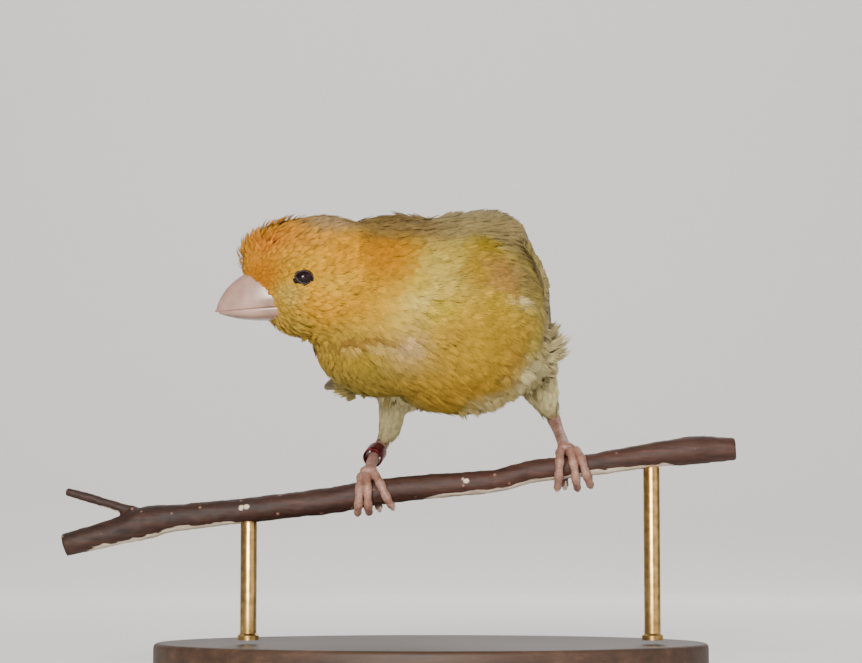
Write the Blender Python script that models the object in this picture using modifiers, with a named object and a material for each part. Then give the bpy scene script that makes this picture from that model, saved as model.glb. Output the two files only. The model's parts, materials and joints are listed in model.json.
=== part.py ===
"""A canary, life size, gripping a cut length of branch that two rods hold over a flat base.

The bird faces -Y with its head turned to its right, which is -X. +Z is up, and the origin is the
centre of the base's underside. Places in the tables are millimetres from the branch's axis under
the bird, and at() turns them into metres over the floor.
"""
import math

import bmesh
import bpy
import numpy as np
from mathutils import Matrix, Vector
from mathutils.bvhtree import BVHTree

MM = 0.001
GAP = 0.3 * MM
WELD = 0.01 * MM
UP = Vector((0.0, 0.0, 1.0))

# Stand
BASE_LENGTH = 100.0
BASE_DEPTH = 72.0
BASE_HEIGHT = 6.0
BASE_EDGE = 1.2
ROD_RADIUS = 1.5
ROD_PLACES = {"stand_rod_left": -33.0, "stand_rod_right": 40.0}
PERCH_HEIGHT = 34.0

# Branch: x, height and radius along its axis, which lies in the plane y = 0
BRANCH = [(-66.5, -10.7, 2.1), (-57.3, -8.3, 2.5), (-51.1, -6.5, 3.0), (-46.0, -5.7, 2.5),
          (-32.9, -4.3, 2.3), (-18.4, -2.6, 2.45), (-10.7, -1.2, 2.4), (0.0, 0.0, 2.3),
          (11.1, 0.9, 2.15), (18.0, 2.6, 2.1), (28.9, 3.9, 2.05), (39.8, 5.6, 2.3),
          (47.6, 6.5, 2.6), (55.3, 6.8, 2.1)]
TWIG = [(-49.5, 0.0, -6.2, 1.5), (-54.5, 0.6, -4.4, 1.0), (-60.5, 1.2, -2.6, 0.9),
        (-66.5, 1.8, -0.9, 0.85)]

# Body: the trunk's frame runs forward along the breastbone, which points at the viewer
BODY_PLACE = (3.8, 0.0, 31.5)
BODY_YAW = 14.0
BODY_PITCH = 5.0
BODY_ROLL = 0.0
TRUNK = [((0.0, -1.5, 0.0), (28.0, 17.0, 17.5)),
         ((12.0, -3.4, -3.5), (19.0, 17.0, 17.0)),
         ((-3.0, 1.5, 5.0), (23.0, 13.0, 14.3)),
         ((-3.0, 5.7, 8.3), (21.0, 8.4, 11.5)),
         ((-3.0, -7.0, 6.5), (21.0, 10.5, 10.5)),
         ((3.0, 8.0, -7.3), (14.0, 9.0, 8.4)),
         ((-21.0, 0.0, -1.0), (16.0, 11.5, 10.0)),
         ((-17.0, 0.0, -6.0), (14.0, 11.0, 9.0))]

# Head: its frame runs forward along the bill, to the bird's right and a little down
HEAD_PLACE = (-18.7, -25.0, 36.0)
HEAD_YAW = 80.0
HEAD_PITCH = -10.0
SKULL = [((0.5, 0.0, 0.0), (12.8, 9.4, 10.9)),
         ((6.0, 0.0, 2.8), (8.4, 7.2, 7.8)),
         ((4.0, 0.0, -4.6), (7.5, 6.6, 6.4))]
NECK = [((-7.0, -16.0, 35.5), (15.0, 14.0, 12.4)),
        ((-1.0, -11.0, 34.0), (16.0, 15.0, 14.0)),
        ((-6.0, -8.0, 32.5), (13.0, 12.5, 13.0)),
        ((-3.0, -17.0, 31.0), (14.0, 12.5, 14.5)),
        ((-9.0, -18.0, 26.0), (12.5, 12.0, 11.3))]

EYE_PLACE = (4.4, -0.7)
EYE_DEPTH = 2.35
EYE_RADIUS = 2.3
LID_RADIUS = 3.0
LID_OPENING = (1.95, 1.4)
LID_TURN = 12.0

BILL_BACK = 6.0
BILL_TIP = 19.4
BILL_GAPE = (-4.9, -3.5)
BILL_HALF_WIDTH = 3.9
CULMEN = [(6.0, 3.6), (17.0, 3.6), (19.4, -3.7)]
KEEL = [(6.0, -7.3), (14.5, -7.2), (18.8, -3.9)]
NOSTRIL_PLACE = (11.6, 2.6, -0.6)
NOSTRIL_RADIUS = 0.5

# Tail: its frame runs back from the rump
TAIL_ROOT = (-0.5, 21.0, 29.0)
TAIL_TIP = (-14.9, 78.0, 20.1)
TAIL_ROLL = 16.0

# Legs: world places of the thigh's top, the heel and the foot
LEGS = {
    "right": {"thigh": [(-5.5, 3.0, 20.0, 5.5), (-7.0, 6.0, 14.2, 3.0), (-7.6, 9.5, 11.2, 2.5),
                        (-8.8, 13.0, 8.9, 1.5)],
              "shank": [(-9.0, 13.8, 8.4, 1.25), (-10.4, 8.6, 6.0, 1.05), (-11.2, 0.6, 2.9, 1.1)],
              "pad": (-11.3, -0.4, 2.75)},
    "left": {"thigh": [(17.6, 3.0, 23.0, 6.2), (20.4, 6.5, 17.8, 3.7), (21.4, 9.2, 15.6, 2.7),
                       (22.5, 12.0, 13.5, 1.6)],
             "shank": [(22.9, 13.0, 13.0, 1.25), (23.6, 8.2, 10.4, 1.05), (24.3, 0.6, 7.2, 1.1)],
             "pad": (24.5, -0.4, 7.0)},
}
PAD_RADIUS = 1.35
# Toes: x at the root and tip, angle about the perch from its top towards the viewer
TOES = {
    "right": {"inner": (-10.2, -7.0, 24.0, 150.0), "middle": (-11.6, -11.2, 26.0, 185.0),
              "outer": (-12.6, -13.3, 24.0, 165.0), "hind": (-11.0, -9.4, -26.0, -150.0)},
    "left": {"inner": (23.4, 22.8, 24.0, 160.0), "middle": (25.2, 26.6, 26.0, 182.0),
             "outer": (26.2, 29.0, 22.0, 170.0), "hind": (24.4, 24.4, -26.0, -150.0)},
}
TOE_DROOP = {"right": 0.0, "left": 0.9}
TOE_RADIUS = 0.8
CLAW_RADIUS = 0.55
CLAW_TURN = 62.0

RING_RADIUS = 1.85
RING_WALL = 0.35
RING_HEIGHT = 3.4

# Vanes: their thickness, and how much one edge is raised for each millimetre of width
VANE_THICK = 0.55
VANE_SHAPE = [(0.0, 0.55), (0.25, 0.9), (0.6, 1.0), (0.88, 0.78), (1.0, 0.22)]
SHINGLE = 0.1

# Wings, about the trunk's long axis, from wrist to tip: place on the axis, angles of the lower
# and the upper edge over the horizontal, and least distance from the axis
WING_SHEET = [(15.0, -14.0, 48.0, 14.0), (2.0, -24.0, 58.0, 17.0), (-14.0, -26.0, 64.0, 17.5),
              (-30.0, -20.0, 62.0, 14.0), (-42.0, -10.0, 58.0, 9.0), (-54.0, 5.0, 52.0, 4.6)]
WING_LIFT = 0.35
ARM_REACH = 0.42
ARM_THICK = 0.7
# Tiers: how many vanes, root (p, q), step of the root, tip (p, q), step of the tip, width, height
WING_TIERS = [
    ("primaries", 5, (0.30, 0.10), (0.0, 0.09), (1.00, 0.20), (-0.05, 0.16), 5.2, 0.3),
    ("secondaries", 4, (0.22, 0.30), (0.0, 0.15), (0.64, 0.30), (0.02, 0.15), 6.2, 0.7),
    ("tertials", 3, (0.24, 0.80), (0.0, 0.07), (0.56, 0.80), (0.09, 0.06), 6.0, 1.0),
    ("greater coverts", 4, (0.12, 0.17), (0.0, 0.22), (0.42, 0.15), (0.0, 0.23), 7.0, 1.1),
    ("median coverts", 4, (0.03, 0.15), (0.0, 0.23), (0.25, 0.15), (0.0, 0.23), 6.8, 1.45),
]

# Tail: pairs from the middle outwards, and the coverts over and under its root
TAIL_PAIRS = 6
TAIL_LENGTH = 0.94
TAIL_SPREAD = (0.8, 1.42)
TAIL_VANE = 4.4
TAIL_STUB = ((14.0, 0.0, -0.6), (9.0, 5.2, 3.3))
TAIL_COVERTS = [("upper", 5, 13.0, 31.0, 2.4, 2.2), ("under", 5, 12.0, 35.0, -2.2, -1.2)]

parts = bpy.data.collections.new("canary")
cutters = bpy.data.collections.new("cutters")


def at(x, y, z):
    """A place given in millimetres from the branch's axis, in metres over the floor."""
    return Vector((x, y, z + PERCH_HEIGHT)) * MM


def frame_at(place, along, roll=0.0):
    """A matrix whose axes run along a piece, to its left and up, rolled about the first."""
    first = along.normalized()
    left = UP.cross(first).normalized()
    turn = Matrix.Rotation(math.radians(roll), 3, first)
    axes = Matrix((first, turn @ left, turn @ first.cross(left))).transposed()
    return Matrix.Translation(place) @ axes.to_4x4()


def heading(yaw, pitch):
    """A direction turned by yaw from the viewer towards the bird's right, and raised by pitch."""
    across, rise = math.radians(yaw), math.radians(pitch)
    return Vector((-math.sin(across) * math.cos(rise), -math.cos(across) * math.cos(rise),
                   math.sin(rise)))


BODY = frame_at(at(*BODY_PLACE), heading(-BODY_YAW, BODY_PITCH), BODY_ROLL)
HEAD = frame_at(at(*HEAD_PLACE), heading(HEAD_YAW, HEAD_PITCH))
TAIL = frame_at(at(*TAIL_ROOT), at(*TAIL_TIP) - at(*TAIL_ROOT), TAIL_ROLL)


def material(name, colour, roughness, metallic=0.0):
    """A plain finish of one sRGB colour."""
    finish = bpy.data.materials.new(name)
    finish.use_nodes = True
    shader = finish.node_tree.nodes["Principled BSDF"]
    channels = [int(colour[i:i + 2], 16) / 255 for i in (0, 2, 4)]
    linear = [c / 12.92 if c <= 0.04045 else ((c + 0.055) / 1.055) ** 2.4 for c in channels]
    shader.inputs["Base Color"].default_value = (*linear, 1.0)
    shader.inputs["Roughness"].default_value = roughness
    shader.inputs["Metallic"].default_value = metallic
    return finish


def settle(piece, name, finish):
    """Name a piece, give it its finish and put it with the parts."""
    piece.name = name
    piece.data.name = name
    piece.data.materials.clear()
    piece.data.materials.append(finish)
    for home in list(piece.users_collection):
        home.objects.unlink(piece)
    parts.objects.link(piece)
    return piece


def new_object(shape, name):
    """A mesh object from a bmesh, with its faces turned outwards."""
    bmesh.ops.recalc_face_normals(shape, faces=shape.faces)
    mesh = bpy.data.meshes.new(name)
    shape.to_mesh(mesh)
    shape.free()
    piece = bpy.data.objects.new(name, mesh)
    cutters.objects.link(piece)
    return piece


def solid(piece, weld=WELD):
    """The piece as it stands, as a plain mesh in world coordinates with its caps welded."""
    bpy.context.view_layer.update()
    graph = bpy.context.evaluated_depsgraph_get()
    mesh = bpy.data.meshes.new_from_object(piece.evaluated_get(graph))
    mesh.transform(piece.matrix_world)
    shape = bmesh.new()
    shape.from_mesh(mesh)
    if weld:
        bmesh.ops.remove_doubles(shape, verts=shape.verts, dist=weld)
    name = piece.name
    bpy.data.meshes.remove(mesh)
    bpy.data.objects.remove(piece, do_unlink=True)
    return new_object(shape, name)


def copy_of(piece, grow=0.0):
    """A copy of a mesh piece, with its surface moved out by grow."""
    twin = bpy.data.objects.new(piece.name + "_copy", piece.data.copy())
    twin.matrix_world = piece.matrix_world.copy()
    cutters.objects.link(twin)
    if grow:
        swell = twin.modifiers.new("grow", "DISPLACE")
        swell.strength = grow
        swell.mid_level = 0.0
        twin = solid(twin)
    return twin


def combine(piece, other, operation, solver="EXACT"):
    """Apply one Boolean to a mesh piece and drop the other mesh."""
    other.hide_render = True
    other.display_type = "WIRE"
    joint = piece.modifiers.new("combine", "BOOLEAN")
    joint.operation = operation
    joint.solver = solver
    joint.object = other
    result = solid(piece, WELD if solver == "EXACT" else 0.0)
    bpy.data.objects.remove(other, do_unlink=True)
    return result


def clear_of(piece, *neighbours, solver="EXACT"):
    """Cut a piece back so that the usual gap is left to each neighbour."""
    for neighbour in neighbours:
        piece = combine(piece, copy_of(neighbour, GAP), "DIFFERENCE", solver)
    return largest(piece)


def face_islands(shape):
    """The faces of a bmesh, sorted into connected surfaces."""
    loose = set(shape.faces)
    islands = []
    while loose:
        waiting = [loose.pop()]
        island = []
        while waiting:
            face = waiting.pop()
            island.append(face)
            near = {other for edge in face.edges for other in edge.link_faces} & loose
            loose -= near
            waiting.extend(near)
        islands.append(island)
    return islands


def enclosed(island):
    """Six times the volume inside a closed surface."""
    total = 0.0
    for face in island:
        first = face.verts[0].co
        for second, third in zip(face.verts[1:], face.verts[2:]):
            total += first.dot(second.co.cross(third.co))
    return total


def largest(piece):
    """Keep only the largest closed surface of a piece."""
    shape = bmesh.new()
    shape.from_mesh(piece.data)
    islands = sorted(face_islands(shape), key=enclosed, reverse=True)
    for island in islands[1:]:
        bmesh.ops.delete(shape, geom=island, context="FACES")
    for vert in [v for v in shape.verts if not v.link_faces]:
        shape.verts.remove(vert)
    shape.to_mesh(piece.data)
    shape.free()
    return piece


def ellipsoid(name, frame, centre, radii, segments=24, rings=16):
    """A ball of three radii, placed in a frame, all in millimetres."""
    bpy.ops.mesh.primitive_uv_sphere_add(segments=segments, ring_count=rings, radius=MM)
    ball = bpy.context.object
    ball.name = name
    ball.matrix_world = (frame @ Matrix.Translation(Vector(centre) * MM)
                         @ Matrix.Diagonal((*radii, 1.0)))
    return solid(ball)


def tube(name, points, sides=2):
    """A tube of changing radius through (x, y, z, radius) points, as one closed mesh."""
    curve = bpy.data.curves.new(name, "CURVE")
    curve.dimensions = "3D"
    curve.bevel_depth = MM
    curve.bevel_resolution = sides
    curve.use_fill_caps = True
    spline = curve.splines.new("POLY")
    spline.points.add(len(points) - 1)
    for knot, (x, y, z, radius) in zip(spline.points, points):
        knot.co = (*at(x, y, z), 1.0)
        knot.radius = radius
    line = bpy.data.objects.new(name, curve)
    cutters.objects.link(line)
    return solid(line)


def smooth_path(knots, count):
    """Rows read evenly from a smooth curve through a few knots."""
    table = np.array(knots, dtype=float)
    ends = np.vstack([2 * table[0] - table[1], table, 2 * table[-1] - table[-2]])
    rows = []
    for place in np.linspace(0.0, len(table) - 1.000001, count):
        i = int(place)
        t = place - i
        a, b, c, d = ends[i:i + 4]
        rows.append(0.5 * (2 * b + (c - a) * t + (2 * a - 5 * b + 4 * c - d) * t ** 2
                           + (3 * b - a - 3 * c + d) * t ** 3))
    return [tuple(row) for row in rows]


def arc_of(points, t):
    """A point on the curve of three control points."""
    a, b, c = (Vector(p) for p in points)
    return a * (1 - t) ** 2 + b * 2 * t * (1 - t) + c * t ** 2


def loft(name, rings):
    """A closed mesh through rings of equal count, capped flat at both ends."""
    shape = bmesh.new()
    rows = [[shape.verts.new(point) for point in ring] for ring in rings]
    count = len(rows[0])
    for near, far in zip(rows, rows[1:]):
        for i in range(count):
            j = (i + 1) % count
            shape.faces.new((near[i], near[j], far[j], far[i]))
    shape.faces.new(rows[0])
    shape.faces.new(rows[-1])
    return new_object(shape, name)


def merged_skin(name, pieces, voxel, rounds, share):
    """One smooth closed form from overlapping pieces."""
    with bpy.context.temp_override(active_object=pieces[0], object=pieces[0],
                                   selected_objects=pieces, selected_editable_objects=pieces):
        bpy.ops.object.join()
    body = pieces[0]
    body.name = name
    remesh = body.modifiers.new("merge", "REMESH")
    remesh.mode = "VOXEL"
    remesh.voxel_size = voxel
    ease = body.modifiers.new("ease", "SMOOTH")
    ease.factor = 0.5
    ease.iterations = rounds
    thin = body.modifiers.new("thin", "DECIMATE")
    thin.ratio = share
    return solid(body)


def sliced(piece, point, normal, name):
    """The part of a mesh that lies ahead of a plane, closed with a flat face."""
    shape = bmesh.new()
    shape.from_mesh(piece.data)
    everything = shape.verts[:] + shape.edges[:] + shape.faces[:]
    cut = bmesh.ops.bisect_plane(shape, geom=everything, plane_co=point, plane_no=normal,
                                 clear_inner=True)
    rim = [item for item in cut["geom_cut"] if isinstance(item, bmesh.types.BMEdge)]
    bmesh.ops.edgeloop_fill(shape, edges=rim)
    bmesh.ops.triangulate(shape, faces=[f for f in shape.faces if len(f.verts) > 4])
    return new_object(shape, name)


def branch_axis(x):
    """Height and radius of the branch at x."""
    table = np.array(BRANCH)
    return float(np.interp(x, table[:, 0], table[:, 1])), float(np.interp(x, table[:, 0], table[:, 2]))


def make_stand(wood, brass):
    """The base plate and the two rods, not yet cut to the branch."""
    bpy.ops.mesh.primitive_cylinder_add(vertices=48, radius=MM, depth=BASE_HEIGHT * MM)
    base = bpy.context.object
    base.scale = (BASE_LENGTH / 2, BASE_DEPTH / 2, 1.0)
    base.location.z = BASE_HEIGHT * MM / 2
    base = solid(base)
    edge = base.modifiers.new("edge", "BEVEL")
    edge.width = BASE_EDGE * MM
    edge.segments = 1
    edge.limit_method = "ANGLE"
    settle(base, "stand_base", wood)
    rods = []
    for name, x in ROD_PLACES.items():
        height = branch_axis(x)[0] + PERCH_HEIGHT - BASE_HEIGHT
        bpy.ops.mesh.primitive_cylinder_add(vertices=16, radius=ROD_RADIUS * MM, depth=height * MM)
        rod = bpy.context.object
        rod.location = (x * MM, 0.0, (BASE_HEIGHT + height / 2) * MM + GAP)
        rod = solid(rod)
        rod.name = name
        rods.append(settle(rod, name, brass))
    return rods


def make_branch(bark):
    """The branch with its fork and the stub of a twig."""
    knots = [(x, 0.0, z, radius) for x, z, radius in BRANCH]
    branch = tube("branch", smooth_path(knots, 23), sides=3)
    twig = tube("twig", smooth_path(TWIG, 6), sides=2)
    branch = combine(branch, twig, "UNION")
    return settle(largest(branch), "perch_branch", bark)


def make_flesh(plumage):
    """Trunk, neck and head: one smooth form, parted by two thin cuts."""
    balls = [ellipsoid("trunk", BODY, *ball) for ball in TRUNK]
    balls += [ellipsoid("skull", HEAD, *ball) for ball in SKULL]
    balls += [ellipsoid("neck", Matrix.Translation(at(0.0, 0.0, 0.0)), *ball) for ball in NECK]
    bird = merged_skin("bird", balls, voxel=0.8 * MM, rounds=32, share=0.064)
    nape = HEAD @ Vector((-5.5 * MM, 0.0, 0.0))
    to_head = (HEAD.to_3x3() @ Vector((1.0, 0.3, 0.1))).normalized()
    shoulder = at(-6.0, -14.0, 35.0)
    to_neck = (nape - shoulder).normalized()
    head = sliced(bird, nape + to_head * GAP / 2, to_head, "head")
    middle = sliced(bird, nape - to_head * GAP / 2, -to_head, "middle")
    neck = sliced(middle, shoulder + to_neck * GAP / 2, to_neck, "neck")
    torso = sliced(middle, shoulder - to_neck * GAP / 2, -to_neck, "torso")
    for leftover in (bird, middle):
        bpy.data.objects.remove(leftover, do_unlink=True)
    settle(largest(neck), "neck", plumage)
    settle(largest(torso), "torso", plumage)
    return head, neck, torso


def make_bill(head, horn):
    """Upper and lower half of a short cone, with the line of the mouth between them."""
    halves = {"bill_upper": (CULMEN, 1.0), "bill_lower": (KEEL, -1.0)}
    made = {}
    for name, (edge, side) in halves.items():
        rings = []
        for step in np.linspace(0.0, 1.0, 9):
            ridge = arc_of([(f, 0.0, u) for f, u in edge], step)
            along = (ridge.x - BILL_BACK) / (BILL_TIP - BILL_BACK)
            gape = BILL_GAPE[0] + (BILL_GAPE[1] - BILL_GAPE[0]) * along + side * 0.15
            height = max(abs(ridge.z - gape), 0.12)
            width = max(BILL_HALF_WIDTH * (1.0 - along ** 1.7), 0.12)
            ring = []
            for turn in np.linspace(0.0, math.pi, 9):
                lift = math.sin(turn) ** 0.85 * height * side
                ring.append(HEAD @ (Vector((ridge.x, math.cos(turn) * width, gape + lift)) * MM))
            rings.append(ring)
        made[name] = clear_of(loft(name, rings), head)
    upper = made["bill_upper"]
    for side in (1.0, -1.0):
        forward, out, up = NOSTRIL_PLACE
        pit = ellipsoid("pit", HEAD, (forward, out * side, up), (0.7, 0.9, NOSTRIL_RADIUS), 10, 8)
        upper = combine(upper, pit, "DIFFERENCE")
    settle(largest(upper), "bill_upper", horn)
    settle(made["bill_lower"], "bill_lower", horn)


def skin_reach(head, forward, up, side):
    """How far the skin of the head lies from its middle plane, in millimetres."""
    shape = bmesh.new()
    shape.from_mesh(head.data)
    tree = BVHTree.FromBMesh(shape)
    shape.free()
    start = HEAD @ (Vector((forward, 40.0 * side, up)) * MM)
    hit = tree.ray_cast(start, HEAD.to_3x3() @ Vector((0.0, -side, 0.0)))[0]
    return abs((HEAD.inverted() @ hit).y) / MM


def make_eyes(head, glass):
    """Both eyes, each behind a pair of lids raised on the head."""
    forward, up = EYE_PLACE
    for name, side in (("eye_left", 1.0), ("eye_right", -1.0)):
        out = skin_reach(head, forward, up, side) - EYE_DEPTH
        centre = (forward, out * side, up)
        ball = (EYE_RADIUS, EYE_RADIUS * 1.16, EYE_RADIUS)
        lids = ellipsoid("lids", HEAD, centre, (LID_RADIUS,) * 3, 16, 10)
        head = combine(head, lids, "UNION")
        tilt = Matrix.Rotation(math.radians(-LID_TURN), 4, "Y")
        opening = (HEAD @ Matrix.Translation(Vector((forward, (out + 2.5) * side, up)) * MM) @ tilt
                   @ Matrix.Rotation(math.radians(90), 4, "X"))
        bpy.ops.mesh.primitive_cylinder_add(vertices=20, radius=MM, depth=4.0 * MM)
        slot = bpy.context.object
        slot.matrix_world = opening @ Matrix.Diagonal((*LID_OPENING, 1.0, 1.0))
        head = combine(head, solid(slot), "DIFFERENCE")
        socket = ellipsoid("socket", HEAD, centre, tuple(r + GAP / MM for r in ball), 16, 10)
        head = combine(head, socket, "DIFFERENCE")
        settle(ellipsoid(name, HEAD, centre, ball, 16, 10), name, glass)
    return largest(head)


def grip_point(x, angle, reach):
    """A place at an angle about the branch, at a distance reach from its axis."""
    height = branch_axis(x)[0]
    around = math.radians(angle)
    return (x, -reach * math.sin(around), height + reach * math.cos(around))


def make_leg(side, skin, horn, plumage, torso, branch):
    """Feathered thigh, bare shank, four toes and their claws."""
    leg = LEGS[side]
    thigh = tube("thigh", smooth_path(leg["thigh"], 9), sides=4)
    thigh = settle(clear_of(thigh, torso), "thigh_" + side, plumage)
    shank = tube("shank", smooth_path(leg["shank"], 7), sides=2)
    pad = ellipsoid("pad", Matrix.Translation(at(*leg["pad"])), (0.0, 0.0, 0.0),
                    (PAD_RADIUS * 1.2, PAD_RADIUS, PAD_RADIUS * 0.8), 10, 8)
    shank = combine(shank, pad, "UNION")
    shank = settle(clear_of(shank, thigh, branch), "shank_" + side, skin)
    made = []
    for toe, (x_root, x_tip, start, end) in TOES[side].items():
        points = []
        for t in np.linspace(0.0, 1.0, 9):
            x = x_root + (x_tip - x_root) * t
            thick = TOE_RADIUS * (1.0 - 0.12 * t + 0.08 * math.cos(6.0 * math.pi * t))
            reach = branch_axis(x)[1] + GAP / MM + TOE_RADIUS + 0.1 + TOE_DROOP[side] * t
            points.append((*grip_point(x, start + (end - start) * t, reach), thick))
        solid_toe = clear_of(tube("toe", points, sides=2), shank, *made)
        made.append(settle(solid_toe, "toe_%s_%s" % (side, toe), skin))
        points = []
        for t in np.linspace(-0.12, 1.0, 7):
            x = x_tip + (x_tip - x_root) * 0.15 * t
            angle = end + math.copysign(CLAW_TURN, end) * t
            reach = (branch_axis(x)[1] + GAP / MM + TOE_RADIUS + 0.25 + TOE_DROOP[side]
                     - (0.3 + TOE_DROOP[side]) * t)
            points.append((*grip_point(x, angle, reach), CLAW_RADIUS * (1.0 - 0.82 * max(t, 0.0))))
        claw = clear_of(tube("claw", points, sides=1), solid_toe, branch)
        settle(claw, "claw_%s_%s" % (side, toe), horn)
    return thigh


def make_ring(shank_points, aluminium):
    """The closed band on the bird's right shank, just under its heel."""
    top, middle = at(*shank_points[0][:3]), at(*shank_points[1][:3])
    axis = (middle - top).normalized()
    bpy.ops.mesh.primitive_cylinder_add(vertices=24, radius=RING_RADIUS * MM,
                                        depth=RING_HEIGHT * MM, end_fill_type="NOTHING")
    ring = bpy.context.object
    ring.rotation_mode = "QUATERNION"
    ring.rotation_quaternion = axis.to_track_quat("Z", "Y")
    ring.location = middle
    wall = ring.modifiers.new("wall", "SOLIDIFY")
    wall.thickness = RING_WALL * MM
    settle(solid(ring), "leg_ring", aluminium)


def vane(name, stations, thick=VANE_THICK):
    """A flat feather through (centre, side, normal, half width) stations, split alike on both faces."""
    shape = bmesh.new()
    rows = []
    for centre, side, normal, half in stations:
        edge, rise = side * half, normal * (thick * MM / 2)
        corners = (centre - edge - rise, centre + edge - rise, centre + edge + rise,
                   centre - edge + rise)
        rows.append([shape.verts.new(corner) for corner in corners])
    for near, far in zip(rows, rows[1:]):
        shape.faces.new((near[0], near[1], far[1]))
        shape.faces.new((near[0], far[1], far[0]))
        shape.faces.new((near[3], far[2], near[2]))
        shape.faces.new((near[3], far[3], far[2]))
        shape.faces.new((near[1], near[2], far[2], far[1]))
        shape.faces.new((near[3], near[0], far[0], far[3]))
    shape.faces.new(rows[0])
    shape.faces.new(rows[-1])
    return new_object(shape, name)


def joined(core, vanes, solver="EXACT"):
    """One closed body from a core and the vanes rooted in it."""
    tier = bpy.data.collections.new("tier")
    bpy.context.scene.collection.children.link(tier)
    for piece in vanes:
        cutters.objects.unlink(piece)
        tier.objects.link(piece)
        piece.hide_render = True
        piece.display_type = "WIRE"
    union = core.modifiers.new("union", "BOOLEAN")
    union.operation = "UNION"
    union.solver = solver
    union.operand_type = "COLLECTION"
    union.collection = tier
    whole = solid(core, WELD if solver == "EXACT" else 0.0)
    for piece in list(tier.objects):
        bpy.data.objects.remove(piece, do_unlink=True)
    bpy.data.collections.remove(tier)
    return largest(whole)


def wing_surface(torso, side, rows=33, columns=15):
    """A smooth grid of places on the folded wing, all of them clear of the torso, and its normals."""
    shape = bmesh.new()
    shape.from_mesh(torso.data)
    tree = BVHTree.FromBMesh(shape)
    shape.free()
    table = np.array(smooth_path(WING_SHEET, rows))
    share = np.linspace(0.0, 1.0, columns)
    angles = np.radians(table[:, 1:2] + (table[:, 2:3] - table[:, 1:2]) * share)
    outward = np.stack([angles * 0.0, np.cos(angles) * side, np.sin(angles)], axis=2)
    middle = np.zeros_like(outward)
    middle[:, :, 0] = table[:, 0:1]
    least = np.zeros_like(angles)
    for i, j in np.ndindex(rows, columns):
        ray = Vector(outward[i, j])
        start = BODY @ (Vector(middle[i, j] + outward[i, j] * 50.0) * MM)
        distance = tree.ray_cast(start, BODY.to_3x3() @ -ray)[3]
        least[i, j] = 50.0 - distance / MM + WING_LIFT if distance else 0.0
    reach = np.maximum(least, table[:, 3:4])
    for _ in range(14):
        padded = np.pad(reach, 1, mode="edge")
        around = (padded[2:, 1:-1] + padded[:-2, 1:-1] + padded[1:-1, 2:] + padded[1:-1, :-2]) / 4
        reach = np.maximum(0.5 * reach + 0.5 * around, least)
    places = (middle + outward * reach[:, :, None]) * MM
    turn, move = np.array(BODY.to_3x3()), np.array(BODY.translation)
    grid = places @ turn.T + move
    along, across = np.gradient(grid, axis=0), np.gradient(grid, axis=1)
    normals = np.cross(along, across) * side
    normals /= np.linalg.norm(normals, axis=2, keepdims=True)
    return grid, normals


def read_grid(grid, p, q):
    """A value between the points of a grid."""
    rows, columns = grid.shape[:2]
    i, j = min(p, 0.9999) * (rows - 1), min(max(q, 0.0), 0.9999) * (columns - 1)
    a, b = int(i), int(j)
    s, t = i - a, j - b
    value = ((1 - s) * (1 - t) * grid[a, b] + s * (1 - t) * grid[a + 1, b]
             + (1 - s) * t * grid[a, b + 1] + s * t * grid[a + 1, b + 1])
    return Vector(value)


def wing_vane(grid, normals, root, tip, width, height, side):
    """A vane laid on the wing from root to tip, its lower edge raised over its neighbour."""
    stations = []
    for t, share in VANE_SHAPE:
        p = root[0] + (tip[0] - root[0]) * t
        q = root[1] + (tip[1] - root[1]) * t
        normal = read_grid(normals, p, q).normalized()
        ahead = read_grid(grid, min(p + 0.03, 1.0), q) - read_grid(grid, p - 0.03, q)
        rise = ARM_THICK / 2 + (height - ARM_THICK / 2) * min(t / 0.2, 1.0) - 0.25 * t
        centre = read_grid(grid, p, q) + normal * rise * MM
        across = normal.cross(ahead).normalized() * side
        across = (across - normal * SHINGLE).normalized()
        stations.append((centre, across, normal, width * share * MM / 2))
    return vane("vane", stations)


def make_wing(side, torso):
    """A folded wing: the arm against the trunk, and tiers of vanes that lie back from it."""
    grid, normals = wing_surface(torso, side)
    shape = bmesh.new()
    rows = []
    for p in np.linspace(0.0, ARM_REACH, 6):
        rows.append([shape.verts.new(read_grid(grid, p, q) + read_grid(normals, p, q)
                                     * (ARM_THICK / 2) * MM) for q in np.linspace(0.06, 0.94, 5)])
    for near, far in zip(rows, rows[1:]):
        for i in range(len(near) - 1):
            shape.faces.new((near[i], near[i + 1], far[i + 1], far[i]))
    arm = new_object(shape, "arm")
    wall = arm.modifiers.new("wall", "SOLIDIFY")
    wall.thickness = ARM_THICK * MM
    wall.offset = 0.0
    vanes = []
    for _, count, root, root_step, tip, tip_step, width, height in WING_TIERS:
        for k in range(count):
            start = (root[0] + root_step[0] * k, root[1] + root_step[1] * k)
            end = (tip[0] + tip_step[0] * k, tip[1] + tip_step[1] * k)
            vanes.append(wing_vane(grid, normals, start, end, width, height, side))
    return joined(solid(arm), vanes, "MANIFOLD")


def tail_vane(start, end, width, root_width=0.5):
    """A straight vane between two places in the tail's frame."""
    root, tip = Vector(start) * MM, Vector(end) * MM
    across, normal = TAIL.to_3x3() @ Vector((0.0, 1.0, 0.0)), TAIL.to_3x3() @ Vector((0.0, 0.0, 1.0))
    stations = []
    for t, share in VANE_SHAPE:
        half = width / 2 * (share if t > 0.5 else root_width + (share - root_width) * t * 2)
        stations.append((TAIL @ root.lerp(tip, t), across, normal, half * MM))
    return vane("vane", stations)


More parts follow.
